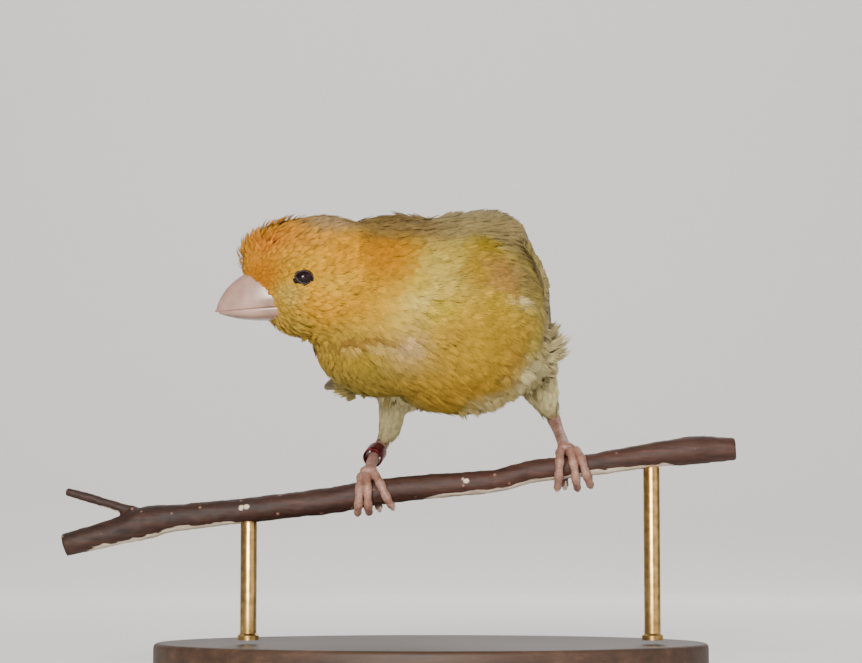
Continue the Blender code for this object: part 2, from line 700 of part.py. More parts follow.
def make_tail(torso):
    """A folded tail: pairs of vanes from the middle outwards, over and under which coverts lie."""
    length = (at(*TAIL_TIP) - at(*TAIL_ROOT)).length / MM
    vanes = []
    for k in range(TAIL_PAIRS):
        reach = length * (TAIL_LENGTH + (1.0 - TAIL_LENGTH) * k / (TAIL_PAIRS - 1))
        for side in (1.0, -1.0):
            out = TAIL_SPREAD[0] + TAIL_SPREAD[1] * k
            height = 0.3 * (TAIL_PAIRS - 1 - k) - (0.12 if side < 0.0 else 0.0)
            vanes.append(tail_vane((10.0, out * 0.4 * side, height), (reach, out * side, height),
                                   TAIL_VANE))
    for _, count, start, end, root_height, tip_height in TAIL_COVERTS:
        for k in range(count):
            out = (k - (count - 1) / 2) * 2.1
            sink = 0.18 * abs(out) * math.copysign(1.0, tip_height) + 0.06 * k
            reach = end - 0.9 * abs(out)
            vanes.append(tail_vane((start, out * 0.7, root_height - sink),
                                   (reach, out, tip_height - sink), 4.6))
    stub = ellipsoid("stub", TAIL, *TAIL_STUB, segments=16, rings=10)
    return clear_of(joined(stub, vanes), torso)


def main():
    """Build every sub-part, those that others grow from first."""
    for old in list(bpy.data.objects):
        bpy.data.objects.remove(old, do_unlink=True)
    for home in (parts, cutters):
        bpy.context.scene.collection.children.link(home)
    plumage = material("plumage", "b5a048", 0.85)
    orange = material("orange plumage", "cc8a24", 0.85)
    grey = material("flight feathers", "a8987a", 0.75)
    cream = material("thigh down", "cbbd86", 0.9)
    horn = material("pale horn", "c4aea0", 0.45)
    leather = material("scaled skin", "a88478", 0.6)
    glass = material("dark eye", "1a0f10", 0.05)
    bark = material("bark", "4d2e26", 0.8)
    wood = material("dark stained wood", "3b2a20", 0.45)
    brass = material("brass", "b08d57", 0.3, 1.0)
    aluminium = material("anodised aluminium", "5e1a22", 0.35, 1.0)

    branch = make_branch(bark)
    for rod in make_stand(wood, brass):
        name = rod.name
        settle(clear_of(rod, branch), name, brass)
    head, neck, torso = make_flesh(plumage)
    make_bill(head, horn)
    head = settle(make_eyes(head, glass), "head", orange)
    thighs = [make_leg(side, leather, horn, cream, torso, branch) for side in ("right", "left")]
    make_ring(LEGS["right"]["shank"], aluminium)
    tail = settle(make_tail(torso), "tail", grey)
    for side_name, side in (("left", 1.0), ("right", -1.0)):
        wing = clear_of(make_wing(side, torso), torso, neck, tail, head, *thighs,
                        solver="MANIFOLD")
        settle(wing, "wing_" + side_name, grey)


main()
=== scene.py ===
# %% [markdown]
# # A canary on its perch
# This lesson dresses a life-size canary that grips a short cut branch, held by a small display stand.
# The solids come from the frame and stay the measure of the whole. Here they get skin, feathers,
# horn, scaly legs, bark and wood. The bird faces -Y with its head turned to its right, which is -X.

# %% Load the frame
import json
import math

import bpy
import numpy as np
from mathutils import Matrix, Vector
from mathutils.bvhtree import BVHTree
from mathutils.kdtree import KDTree

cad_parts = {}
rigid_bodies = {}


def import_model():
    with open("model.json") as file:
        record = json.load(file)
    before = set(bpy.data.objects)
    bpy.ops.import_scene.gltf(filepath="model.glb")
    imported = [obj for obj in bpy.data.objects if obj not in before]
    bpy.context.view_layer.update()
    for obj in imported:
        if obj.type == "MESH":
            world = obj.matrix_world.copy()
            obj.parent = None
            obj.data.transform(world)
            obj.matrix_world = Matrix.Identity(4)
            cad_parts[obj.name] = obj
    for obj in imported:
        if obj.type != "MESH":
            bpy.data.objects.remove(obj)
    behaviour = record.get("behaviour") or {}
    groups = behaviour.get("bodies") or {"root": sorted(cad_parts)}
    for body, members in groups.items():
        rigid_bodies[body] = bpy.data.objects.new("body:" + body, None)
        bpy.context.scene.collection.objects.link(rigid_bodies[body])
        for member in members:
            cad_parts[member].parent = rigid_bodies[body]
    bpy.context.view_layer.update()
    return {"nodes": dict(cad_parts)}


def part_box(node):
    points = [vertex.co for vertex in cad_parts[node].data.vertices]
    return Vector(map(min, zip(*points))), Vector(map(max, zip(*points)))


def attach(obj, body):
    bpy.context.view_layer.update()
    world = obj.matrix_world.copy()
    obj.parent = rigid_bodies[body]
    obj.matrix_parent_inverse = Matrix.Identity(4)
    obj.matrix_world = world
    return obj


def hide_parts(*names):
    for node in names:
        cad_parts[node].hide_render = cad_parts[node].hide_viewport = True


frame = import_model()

nodes = frame["nodes"]

# %% [markdown]
# ## Measures
# A stuffed bird is measured from what it stands on. Every place below is in millimetres from the
# branch's axis under the bird, and one function turns it into metres over the floor. The head, the
# trunk and the tail each get a frame of their own, so that both sides of the bird share one table.

# %% Places and frames
MM = 0.001
PERCH_HEIGHT = 34.0
UP = Vector((0.0, 0.0, 1.0))


def at(x, y, z):
    """A place given in millimetres from the branch's axis, in metres over the floor."""
    return Vector((x, y, z + PERCH_HEIGHT)) * MM


def frame_at(place, along, roll=0.0):
    """A matrix whose axes run along a piece, to its left and up, rolled about the first."""
    first = along.normalized()
    left = UP.cross(first).normalized()
    turn = Matrix.Rotation(math.radians(roll), 3, first)
    axes = Matrix((first, turn @ left, turn @ first.cross(left))).transposed()
    return Matrix.Translation(place) @ axes.to_4x4()


def heading(yaw, pitch):
    """A direction turned by yaw from the viewer towards the bird's right, and raised by pitch."""
    across, rise = math.radians(yaw), math.radians(pitch)
    return Vector((-math.sin(across) * math.cos(rise), -math.cos(across) * math.cos(rise),
                   math.sin(rise)))


BODY = frame_at(at(3.8, 0.0, 31.5), heading(-14.0, 5.0))
HEAD = frame_at(at(-18.7, -25.0, 36.0), heading(80.0, -10.0))
TAIL_ROOT, TAIL_TIP = at(-0.5, 21.0, 29.0), at(-14.9, 78.0, 20.1)
TAIL = frame_at(TAIL_ROOT, TAIL_TIP - TAIL_ROOT, 16.0)
print("bill points along", [round(v, 2) for v in HEAD.to_3x3() @ Vector((1.0, 0.0, 0.0))])

# %% [markdown]
# ## Helpers for modelling
# An operator works on whatever is selected, so each step picks its pieces first. A finished piece
# has its place in its mesh and rides on the only body there is.

# %% Picking, applying and finishing


def pick(*pieces):
    """Leave edit mode, deselect everything, then select these pieces, the first one active."""
    if bpy.context.mode != "OBJECT":
        bpy.ops.object.mode_set(mode="OBJECT")
    bpy.ops.object.select_all(action="DESELECT")
    for piece in pieces:
        piece.select_set(True)
    if pieces:
        bpy.context.view_layer.objects.active = pieces[0]


def modify(piece, kind, **settings):
    """Add one modifier and apply it."""
    pick(piece)
    step = piece.modifiers.new(kind.lower(), kind)
    for name, value in settings.items():
        setattr(step, name, value)
    bpy.ops.object.modifier_apply(modifier=step.name)


def edit(piece, *steps):
    """Run edit-mode operators on the whole of a piece."""
    pick(piece)
    bpy.ops.object.mode_set(mode="EDIT")
    bpy.ops.mesh.select_all(action="SELECT")
    for step, settings in steps:
        step(**settings)
    bpy.ops.object.mode_set(mode="OBJECT")


def choose(piece, wanted):
    """Enter edit mode with the wanted vertices selected, and what lies between them."""
    pick(piece)
    bpy.ops.object.mode_set(mode="EDIT")
    bpy.ops.mesh.select_mode(type="VERT")
    bpy.ops.mesh.select_all(action="DESELECT")
    bpy.ops.object.mode_set(mode="OBJECT")
    for vertex in piece.data.vertices:
        vertex.select = wanted(vertex.co)
    bpy.ops.object.mode_set(mode="EDIT")


def finish_piece(piece, name, finish, slot, *replaced):
    """Name a piece, apply its place, give it its finish and let it ride."""
    pick(piece)
    bpy.ops.object.transform_apply(location=True, rotation=True, scale=True)
    piece.name = name
    piece.data.name = name
    piece.data.materials.clear()
    piece.data.materials.append(finish)
    if replaced:
        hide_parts(*replaced)
    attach(piece, "root")
    print(name, len(piece.data.vertices), "vertices")
    return piece


def copies_of(*names):
    """One mesh joined from copies of CAD nodes, with their loose triangles merged."""
    pick(*[nodes[name] for name in names])
    bpy.ops.object.duplicate()
    twins = list(bpy.context.selected_objects)
    bpy.ops.object.parent_clear(type="CLEAR_KEEP_TRANSFORM")
    pick(*twins)
    if len(twins) > 1:
        bpy.ops.object.join()
    whole = bpy.context.view_layer.objects.active
    edit(whole, (bpy.ops.mesh.remove_doubles, {"threshold": 0.002 * MM}))
    return whole


# %% [markdown]
# ## Helpers for materials
# Colours are written as the sRGB values that a painter would mix, and one function turns them to
# the linear values that a renderer adds up. One more function adds a node, sets it and links it.

# %% Colour and nodes


def to_linear(values):
    """sRGB values from 0 to 1 as linear ones."""
    values = np.asarray(values, dtype=float)
    return np.where(values <= 0.04045, values / 12.92, ((values + 0.055) / 1.055) ** 2.4)


def srgb(hex_colour):
    """The three sRGB channels of a hex colour."""
    return np.array([int(hex_colour[i:i + 2], 16) / 255 for i in (0, 2, 4)])


def colour(hex_colour):
    """A hex colour as the four linear channels that a socket takes."""
    return (*to_linear(srgb(hex_colour)), 1.0)


def add_node(tree, kind, inputs=None, stops=None, **settings):
    """Add a node, set it, link or fill its inputs, and place the stops of a ramp."""
    node = tree.nodes.new(kind)
    for name, value in settings.items():
        setattr(node, name, value)
    for socket, value in (inputs or {}).items():
        if isinstance(value, bpy.types.NodeSocket):
            tree.links.new(value, node.inputs[socket])
        else:
            node.inputs[socket].default_value = value
    if stops:
        ramp = node.color_ramp
        while len(ramp.elements) < len(stops):
            ramp.elements.new(0.5)
        for element, (position, shade) in zip(ramp.elements, stops):
            element.position = position
            element.color = colour(shade)
    return node


def new_material(name, **shader_values):
    """A material with a Principled shader, and its tree, shader and object coordinates."""
    material = bpy.data.materials.new(name)
    material.use_nodes = True
    tree = material.node_tree
    shader = tree.nodes["Principled BSDF"]
    for socket, value in shader_values.items():
        shader.inputs[socket.replace("_", " ")].default_value = value
    place = add_node(tree, "ShaderNodeTexCoord").outputs["Object"]
    return material, tree, shader, place


# %% [markdown]
# ## Plumage finish
# Canary feathers are keratin coloured by yellow and orange carotenes, over a little grey-brown.
# Every feather piece carries its colour as an attribute, so skin and coat always agree. A fine
# noise gives the broken tone of barbs, and a little sheen gives the bloom of soft down.

# %% Plumage, vane and bare-part materials


def plumage_material(name, roughness, sheen):
    """Soft keratin feather, coloured by the attribute that its mesh carries."""
    material, tree, shader, place = new_material(name, Roughness=roughness, Sheen_Weight=sheen,
                                                 Sheen_Roughness=0.45, Specular_IOR_Level=0.1)
    painted = add_node(tree, "ShaderNodeAttribute", attribute_name="plumage")
    # The mottling is 1.5 mm across, about the width of a few barbs held together
    mottle = add_node(tree, "ShaderNodeTexNoise", {"Vector": place, "Scale": 1 / (1.5 * MM),
                                                   "Detail": 4.0, "Roughness": 0.6})
    tone = add_node(tree, "ShaderNodeMapRange", {"Value": mottle.outputs["Fac"], "To Min": 0.9,
                                                 "To Max": 1.1})
    mixed = add_node(tree, "ShaderNodeVectorMath", {0: painted.outputs["Color"],
                                                    1: tone.outputs["Result"]}, operation="MULTIPLY")
    tree.links.new(mixed.outputs["Vector"], shader.inputs["Base Color"])
    return material


DOWN = plumage_material("soft canary plumage", 0.8, 0.03)
SKIN = plumage_material("feathered canary skin", 0.9, 0.0)


# Real barbs are finer than 0.1 mm, so these are drawn wider to show
BARB_SPACING = 0.3


def vane_material():
    """A stiff vane whose barbs run at 45 degrees from the shaft."""
    material, tree, shader, _ = new_material("canary flight feather", Roughness=0.7,
                                             Specular_IOR_Level=0.12)
    painted = add_node(tree, "ShaderNodeAttribute", attribute_name="plumage")
    across = add_node(tree, "ShaderNodeUVMap", uv_map="vane")
    parts = add_node(tree, "ShaderNodeSeparateXYZ", {"Vector": across.outputs["UV"]})
    side = add_node(tree, "ShaderNodeMath", {0: parts.outputs["X"]}, operation="ABSOLUTE")
    slant = add_node(tree, "ShaderNodeMath", {0: parts.outputs["Y"], 1: side.outputs[0]},
                     operation="SUBTRACT")
    bands = add_node(tree, "ShaderNodeMath", {0: slant.outputs[0], 1: 2 * math.pi / BARB_SPACING},
                     operation="MULTIPLY")
    wave = add_node(tree, "ShaderNodeMath", {0: bands.outputs[0]}, operation="SINE")
    tone = add_node(tree, "ShaderNodeMapRange", {"Value": wave.outputs[0], "From Min": -1.0,
                                                 "To Min": 0.9, "To Max": 1.06})
    mixed = add_node(tree, "ShaderNodeVectorMath", {0: painted.outputs["Color"],
                                                    1: tone.outputs["Result"]}, operation="MULTIPLY")
    tree.links.new(mixed.outputs["Vector"], shader.inputs["Base Color"])
    bump = add_node(tree, "ShaderNodeBump", {"Height": wave.outputs[0], "Strength": 0.25,
                                             "Distance": 0.03 * MM})
    tree.links.new(bump.outputs["Normal"], shader.inputs["Normal"])
    return material


VANE = vane_material()


def horn_material(name, pale, dark, roughness):
    """Growing keratin horn: a smooth, waxy, slightly cloudy cone."""
    material, tree, shader, place = new_material(name, Roughness=roughness, Coat_Weight=0.25,
                                                 Coat_Roughness=0.2, Subsurface_Weight=0.08)
    shader.inputs["Subsurface Scale"].default_value = 0.6 * MM
    cloud = add_node(tree, "ShaderNodeTexNoise", {"Vector": place, "Scale": 1 / (4.0 * MM),
                                                  "Detail": 3.0})
    shade = add_node(tree, "ShaderNodeValToRGB", {"Fac": cloud.outputs["Fac"]},
                     stops=[(0.32, dark), (0.68, pale)])
    tree.links.new(shade.outputs["Color"], shader.inputs["Base Color"])
    bump = add_node(tree, "ShaderNodeBump", {"Height": cloud.outputs["Fac"], "Strength": 0.2,
                                             "Distance": 0.06 * MM})
    tree.links.new(bump.outputs["Normal"], shader.inputs["Normal"])
    return material


BILL_HORN = horn_material("pale pink bill horn", "957669", "70554a", 0.33)
CLAW_HORN = horn_material("translucent claw horn", "b59a8e", "94756c", 0.35)


def leg_material():
    """Scaled leg skin: dull, pinkish, with darker creases between scutes about 0.9 mm long."""
    material, tree, shader, place = new_material("scaled canary leg skin", Roughness=0.55,
                                                 Subsurface_Weight=0.1)
    shader.inputs["Subsurface Scale"].default_value = 0.4 * MM
    cells = add_node(tree, "ShaderNodeTexVoronoi", {"Vector": place, "Scale": 1 / (0.9 * MM)},
                     feature="DISTANCE_TO_EDGE")
    crease = add_node(tree, "ShaderNodeMapRange", {"Value": cells.outputs["Distance"],
                                                   "From Max": 0.14})
    cloud = add_node(tree, "ShaderNodeTexNoise", {"Vector": place, "Scale": 1 / (2.4 * MM),
                                                  "Detail": 3.0})
    flesh = add_node(tree, "ShaderNodeValToRGB", {"Fac": cloud.outputs["Fac"]},
                     stops=[(0.3, "734e40"), (0.7, "946e60")])
    tone = add_node(tree, "ShaderNodeMapRange", {"Value": crease.outputs["Result"], "To Min": 0.68})
    mixed = add_node(tree, "ShaderNodeVectorMath", {0: flesh.outputs["Color"],
                                                    1: tone.outputs["Result"]}, operation="MULTIPLY")
    tree.links.new(mixed.outputs["Vector"], shader.inputs["Base Color"])
    bump = add_node(tree, "ShaderNodeBump", {"Height": crease.outputs["Result"], "Strength": 0.5,
                                             "Distance": 0.08 * MM})
    tree.links.new(bump.outputs["Normal"], shader.inputs["Normal"])
    return material


LEG_SKIN = leg_material()


def eye_material():
    """A wet, very dark brown eye under a clear cornea."""
    material, tree, shader, place = new_material("dark canary eye", Roughness=0.12, Coat_Weight=0.12,
                                                 Coat_Roughness=0.03, IOR=1.36,
                                                 Specular_IOR_Level=0.2)
    cloud = add_node(tree, "ShaderNodeTexNoise", {"Vector": place, "Scale": 1 / (1.1 * MM)})
    iris = add_node(tree, "ShaderNodeValToRGB", {"Fac": cloud.outputs["Fac"]},
                    stops=[(0.35, "100809"), (0.75, "1e0f10")])
    tree.links.new(iris.outputs["Color"], shader.inputs["Base Color"])
    return material


EYE = eye_material()

lid_material, tree, shader, place = new_material("bare eyelid skin", Roughness=0.6)
lid_cloud = add_node(tree, "ShaderNodeTexNoise", {"Vector": place, "Scale": 1 / (0.7 * MM)})
lid_shade = add_node(tree, "ShaderNodeValToRGB", {"Fac": lid_cloud.outputs["Fac"]},
                     stops=[(0.3, "1c1311"), (0.7, "2e201b")])
tree.links.new(lid_shade.outputs["Color"], shader.inputs["Base Color"])
print("finishes", [material.name for material in (DOWN, SKIN, VANE, BILL_HORN, CLAW_HORN,
                                                  LEG_SKIN, EYE, lid_material)])

# %% [markdown]
# ## Markings
# A painter lays ground colours first and then smaller patches over them. Each patch here is a soft
# ball with a place, a size, a colour and a strength. Those of the head are in its own frame and
# fall on both sides; those of the trunk are in millimetres from the branch.

# %% Paint the plumage
GROUND = "a29570"
TRUNK_MARKS = [
    # name, place, radii, colour, strength
    ("trunk front", (4, -26, 28), (22, 20, 22), "b19c48", 0.9),
    ("mantle", (6, 0, 48), (20, 22, 9), "9c8e68", 0.95),
    ("rump", (2, 22, 33), (10, 10, 8), "a89850", 0.8),
    ("belly", (4, 6, 13), (20, 14, 6), "b8a874", 0.9),
    ("khaki neck", (-2.5, -29, 29), (6.5, 9, 8), "bfab60", 0.9),
    ("nape beige", (-6, -22, 46), (10, 8, 4.5), "8a7450", 0.9),
    ("mantle beige", (8, -18, 45.5), (11, 9, 4), "9a8a62", 0.85),
    ("upper breast", (-6, -28, 23), (9, 8, 4), "a8905a", 0.8),
    ("pale spot", (-3.6, -29.5, 31.8), (2.2, 4, 1.6), "cbbb86", 0.6),
    ("pink spot", (-4.9, -29, 24.3), (3.2, 4, 1.8), "b9a080", 0.7),
    # Painted shade on the lower left of the breast
    ("low left painted shade", (-13, -26, 19), (5, 7, 4), "8e7a34", 0.8),
    ("gold centre", (6, -29, 25), (7, 8, 6), "ab8c31", 0.8),
    ("gold low", (3, -24, 16), (10, 9, 4.5), "a48430", 0.9),
    ("brown edge", (12.5, -25, 21), (2.4, 5, 4), "a07c38", 0.5),
    ("shoulder beige", (10.5, -28, 35.5), (4.5, 6, 4), "a37e4e", 0.75),
    ("shoulder grey", (14.5, -25, 36), (3, 6, 5), "8f8050", 0.75),
    ("green touch", (7.1, -25.3, 41.2), (2.1, 4, 2), "9c8416", 0.85),
    ("lime neck", (-3.7, -28, 33.4), (1.6, 4, 1.8), "b4a034", 0.5),
    ("lime middle", (0.7, -28, 29.8), (2.4, 4, 1.6), "b4a034", 0.5),
    ("lime side", (8.7, -28, 31.0), (2.6, 4, 1.8), "b09a2e", 0.5),
    ("lime low", (-13.0, -28, 22.0), (2.2, 4, 1.6), "a8962e", 0.5),
    ("olive streak", (5.3, -29, 37), (1.6, 4, 3.5), "a08226", 0.6),
    ("pale line", (14.2, -27.4, 31.3), (3.4, 4, 0.7), "d2c49c", 0.8),
    ("olive patch", (14.2, -27.4, 27.5), (2.6, 4, 2.6), "a4883a", 0.6),
    ("flank grey", (21, -9, 32), (5, 10, 9), "b2a384", 0.9),
    ("band low", (9.5, -19, 14.5), (5.5, 7, 2.4), "c2b48c", 0.9),
    ("band", (17, -16, 19.4), (4.9, 8, 4.2), "d0c49c", 0.95),
    ("band high", (21.5, -6, 22), (4.5, 9, 5), "ccc096", 0.95),
    # Painted shadow under the belly
    ("belly painted shadow", (-5, -4, 14.5), (5, 6, 2), "7e6230", 0.5),
]
HEAD_MARKS = [
    ("hood", (1.5, 0, 1), (12, 12, 10.5), "c29628", 1.0),
    ("nape orange", (-8.5, 5, 2), (4.5, 5, 5), "ae7b0e", 0.9),
    ("forehead", (12, 2.5, 4), (5, 5, 5), "c08c2c", 0.9),
    ("crown", (6, 5, 7.5), (5, 5, 3.6), "bd862c", 0.9),
    ("rust", (10, 5, 6.4), (2.6, 2.5, 1.6), "b87628", 0.6),
    ("light crown", (0, 7, 6), (4.5, 5, 2.6), "b88a3c", 0.7),
    ("crown top", (-3, 0, 11.5), (8, 8, 3), "8a7250", 0.9),
    ("crown beige", (-1.5, 4.5, 8.8), (4.6, 5, 2.5), "a18b6e", 0.9),
    ("nape brown", (-12.5, 3, 6.9), (6.5, 5, 3.0), "84704a", 0.9),
    ("lores", (11.5, 4.5, 1.2), (2.6, 3, 2.4), "b27a16", 0.9),
    ("behind eye", (-3, 8.5, 1), (4, 4, 3.4), "c08e1e", 0.8),
    ("cheek", (3, 8, -5.5), (5.5, 4, 4), "c8982a", 0.9),
    ("eye stripe", (-0.5, 8.5, -2.5), (3.5, 3, 1.6), "c4a444", 0.6),
    ("under eye", (8, 7, -3), (2.4, 3, 2), "bea45a", 0.85),
    ("chin", (9, 3.5, -7.6), (4, 4, 2.6), "a68c40", 0.9),
    ("ear", (-4, 7.5, -6), (4, 4, 4), "c0962e", 0.7),
    ("throat", (1, 0, -12.5), (8, 8, 3), "a08638", 0.85),
    # Painted shadow in the crease under the cheek, at the lower edge of the hood
    ("throat crease shadow", (-2.4, 4.8, -11.9), (6, 4, 0.5), "7c5c30", 0.5),
    ("throat pale", (-4.5, 4.8, -13.0), (5, 4, 0.6), "c0a884", 0.38),
]
THIGH_COLOUR = "ddd2a6"
TO_HEAD = np.array(HEAD.inverted())
HEAD_LEFT = np.array(HEAD.to_3x3() @ Vector((0.0, 1.0, 0.0)))


def in_frame(matrix, places):
    """World places in metres as millimetres in a frame, given the frame's inverse."""
    return (places @ matrix[:3, :3].T + matrix[:3, 3]) / MM


def painted(places):
    """The sRGB colour of the plumage at world places."""
    world = places / MM - np.array([0.0, 0.0, PERCH_HEIGHT])
    head = in_frame(TO_HEAD, places)
    head[:, 1] = np.abs(head[:, 1])
    shades = np.tile(srgb(GROUND), (len(places), 1))
    for table, spots in ((TRUNK_MARKS, world), (HEAD_MARKS, head)):
        for _, centre, radii, tint, strength in table:
            away = np.sum(((spots - np.array(centre)) / np.array(radii)) ** 2, axis=1)
            cover = strength * np.exp(-0.5 * away ** 2)
            shades += (srgb(tint) - shades) * cover[:, None]
    return shades


# Light that passes through several layers of barbs deepens their pigment
PIGMENT_DEPTH, PIGMENT_PALENESS = 1.3, 0.85


def store_colour(mesh, shades):
    """Keep one linear colour for each vertex as the attribute that the materials read."""
    values = np.ones((len(shades), 4))
    values[:, :3] = PIGMENT_PALENESS * to_linear(np.clip(shades, 0.0, 1.0)) ** PIGMENT_DEPTH
    layer = mesh.color_attributes.new("plumage", "FLOAT_COLOR", "POINT")
    layer.data.foreach_set("color", values.astype(np.float32).ravel())


print("marks on the trunk", len(TRUNK_MARKS), "and on the head", len(HEAD_MARKS))

# %% [markdown]
# ## Skin
# Head, neck, trunk and thighs are separate solids, but a bird wears one skin. Copies of them are
# swollen a little so that they overlap, remeshed as one voxel form, smoothed, and sunk by the depth
# of the coat that will stand on them: a third of a millimetre at the bill, more on the trunk.

# %% One skin from the flesh solids
FLESH = ("head", "neck", "torso", "thigh_left", "thigh_right")
SWELL = 0.25
VOXEL = 0.5
# Rows of a place and the coat's depth there: along the head's axis, and up the thighs
COAT_DEPTH = [(-16.0, 1.3), (-6.0, 0.9), (2.0, 0.7), (9.0, 0.5), (13.0, 0.35)]
THIGH_DEPTH = [(9.0, 0.3), (14.0, 0.6), (22.0, 1.2)]
# Behind the bill the bare skull is narrower than the feathered head: places and shares of the width
MUZZLE = [(7.3, 1.0), (11.2, 0.76)]
SMOOTHING = 36
# Painted shade: the skin under the coat is darkened to this share of its colour
UNDER_COAT_SHADE = 0.92


def vertices_of(mesh):
    """The places of a mesh's vertices as an array."""
    places = np.empty(len(mesh.vertices) * 3)
    mesh.vertices.foreach_get("co", places)
    return places.reshape(-1, 3)


def normals_of(mesh):
    """The vertex normals of a mesh as an array."""
    normals = np.empty(len(mesh.vertices) * 3)
    mesh.vertices.foreach_get("normal", normals)
    return normals.reshape(-1, 3)


skin = copies_of(*FLESH, "eye_left", "eye_right")
modify(skin, "DISPLACE", strength=SWELL * MM, mid_level=0.0)
modify(skin, "REMESH", mode="VOXEL", voxel_size=VOXEL * MM)
modify(skin, "SMOOTH", factor=0.5, iterations=SMOOTHING)
labels = []
tree_of_flesh = KDTree(sum(len(nodes[name].data.vertices) for name in FLESH))
for name in FLESH:
    for vertex in nodes[name].data.vertices:
        tree_of_flesh.insert(vertex.co, len(labels))
        labels.append(name)
tree_of_flesh.balance()


def regions(places):
    """The name of the flesh solid nearest to each place."""
    return np.array([labels[tree_of_flesh.find(place)[1]] for place in places])


def depth_at(places, names):
    """How deep the coat is over each place, in metres."""
    forward = in_frame(TO_HEAD, places)[:, 0]
    height = places[:, 2] / MM - PERCH_HEIGHT
    knots = np.array(COAT_DEPTH)
    depth = np.interp(forward, knots[:, 0], knots[:, 1])
    knots = np.array(THIGH_DEPTH)
    thigh = np.interp(height, knots[:, 0], knots[:, 1])
    return np.where(np.char.startswith(names, "thigh"), np.minimum(thigh, depth), depth) * MM


sunk = vertices_of(skin.data)
sunk -= normals_of(skin.data) * (depth_at(sunk, regions(sunk)) + SWELL * MM)[:, None]
muzzle = in_frame(TO_HEAD, sunk)
narrowing = np.interp(muzzle[:, 0], *np.array(MUZZLE).T)
sunk -= (muzzle[:, 1] * (1.0 - narrowing))[:, None] * HEAD_LEFT * MM
skin.data.vertices.foreach_set("co", sunk.ravel())
modify(skin, "SMOOTH", factor=0.5, iterations=4)
edit(skin, (bpy.ops.mesh.normals_make_consistent, {"inside": False}))
pick(skin)
bpy.ops.object.shade_smooth()
skin.data.uv_layers.new(name="OFBake")
edit(skin, (bpy.ops.uv.smart_project, {"angle_limit": math.radians(66), "island_margin": 0.004}))
skin_places = vertices_of(skin.data)
skin_regions = regions(skin_places)
skin_shades = painted(skin_places)
thighs = np.char.startswith(skin_regions, "thigh")
skin_shades[thighs] = srgb(THIGH_COLOUR)
# The skin's colour is darkened as painted shade under the coat
store_colour(skin.data, skin_shades * UNDER_COAT_SHADE)
finish_piece(skin, "skin", SKIN, "body_plumage", *FLESH)

# %% [markdown]
# ## Lie of the coat
# Feathers grow backwards. They run away from the bill over the head and neck, down the breast, back
# along the trunk and down the thighs. A few soft rules give that direction anywhere on the skin, and
# a slow wave over the body ruffles it, since no bird lies perfectly combed.

# %% The direction of growth
# The pull backwards starts at this y and grows over this length, and the pull down works below
# this height, all in millimetres from the branch
BACK_FROM, BACK_OVER, BACK_PULL = -14.0, 22.0, 1.6
DOWN_BELOW, DOWN_OVER, DOWN_PULL = 32.0, 14.0, 0.7
BILL_BASE = np.array(HEAD @ (Vector((12.0, 0.0, -0.5)) * MM))
BACKWARD = -np.array(BODY.to_3x3() @ Vector((1.0, 0.0, 0.0)))
DOWNWARD = np.array([0.0, 0.0, -1.0])
THIGH_LIES = {"thigh_right": np.array(at(-8.8, 13.0, 8.9) - at(-5.5, 3.0, 20.0)),
              "thigh_left": np.array(at(22.5, 12.0, 13.5) - at(17.6, 3.0, 23.0))}


def unit(vectors):
    """Vectors scaled to length one."""
    return vectors / np.maximum(np.linalg.norm(vectors, axis=-1, keepdims=True), 1e-12)


def ruffle(places, wavelength, phase):
    """A smooth wave between -1 and 1 over the body, from a few crossed sines."""
    spots = places * (2 * math.pi / (wavelength * MM))
    return (np.sin(spots @ np.array([0.8, 0.5, 0.3]) + phase)
            + np.sin(spots @ np.array([-0.4, 0.7, 0.8]) + 2.3 * phase)
            + np.sin(spots @ np.array([0.5, -0.8, 0.6]) + 4.1 * phase)) / 3


def lie_at(places, normals, names):
    """The direction in which a feather lies at each place, along the skin."""
    away = unit(places - BILL_BASE)
    world = places / MM - np.array([0.0, 0.0, PERCH_HEIGHT])
    back = np.clip((world[:, 1:2] - BACK_FROM) / BACK_OVER, 0.0, 1.0)
    down = np.clip((DOWN_BELOW - world[:, 2:3]) / DOWN_OVER, 0.0, 1.0) * (1.0 - back)
    flow = away + BACKWARD * back * BACK_PULL + DOWNWARD * down * DOWN_PULL
    for name, along in THIGH_LIES.items():
        flow[names == name] = unit(along)
    flow -= normals * np.sum(flow * normals, axis=1, keepdims=True)
    return unit(flow)


# %% [markdown]
# ## Body feathers
# The visible end of a body feather is a small rounded fan of loose barbs. Each fan here is a row of
# thin closed spikes that share a root, a tone and a lie, long in the middle and shorter at the
# sides. All fans of a region are built at once from arrays and kept as one mesh. Their patches on
# the baking map sit where their roots are on the skin's own unwrap.

# %% Scatter roots and grow feathers
skin_mesh = skin.data
skin_mesh.calc_loop_triangles()
corner_verts = np.empty(len(skin_mesh.loop_triangles) * 3, dtype=np.int32)
corner_loops = np.empty_like(corner_verts)
skin_mesh.loop_triangles.foreach_get("vertices", corner_verts)
skin_mesh.loop_triangles.foreach_get("loops", corner_loops)
corner_verts = corner_verts.reshape(-1, 3)
corner_loops = corner_loops.reshape(-1, 3)
skin_normals = normals_of(skin_mesh)
unwrap = np.empty(len(skin_mesh.loops) * 2)
skin_mesh.uv_layers["OFBake"].data.foreach_get("uv", unwrap)
unwrap = unwrap.reshape(-1, 2)
triangle_regions = skin_regions[corner_verts[:, 0]]
corners = skin_places[corner_verts]
triangle_areas = np.linalg.norm(np.cross(corners[:, 1] - corners[:, 0],
                                         corners[:, 2] - corners[:, 0]), axis=1) / 2
print("skin area in square millimetres", round(triangle_areas.sum() / MM ** 2))


def surface_tree(name):
    """A search tree of a CAD node's faces, to look at them along a line."""
    mesh = nodes[name].data
    return BVHTree.FromPolygons([vertex.co for vertex in mesh.vertices],
                                [tuple(face.vertices) for face in mesh.polygons])


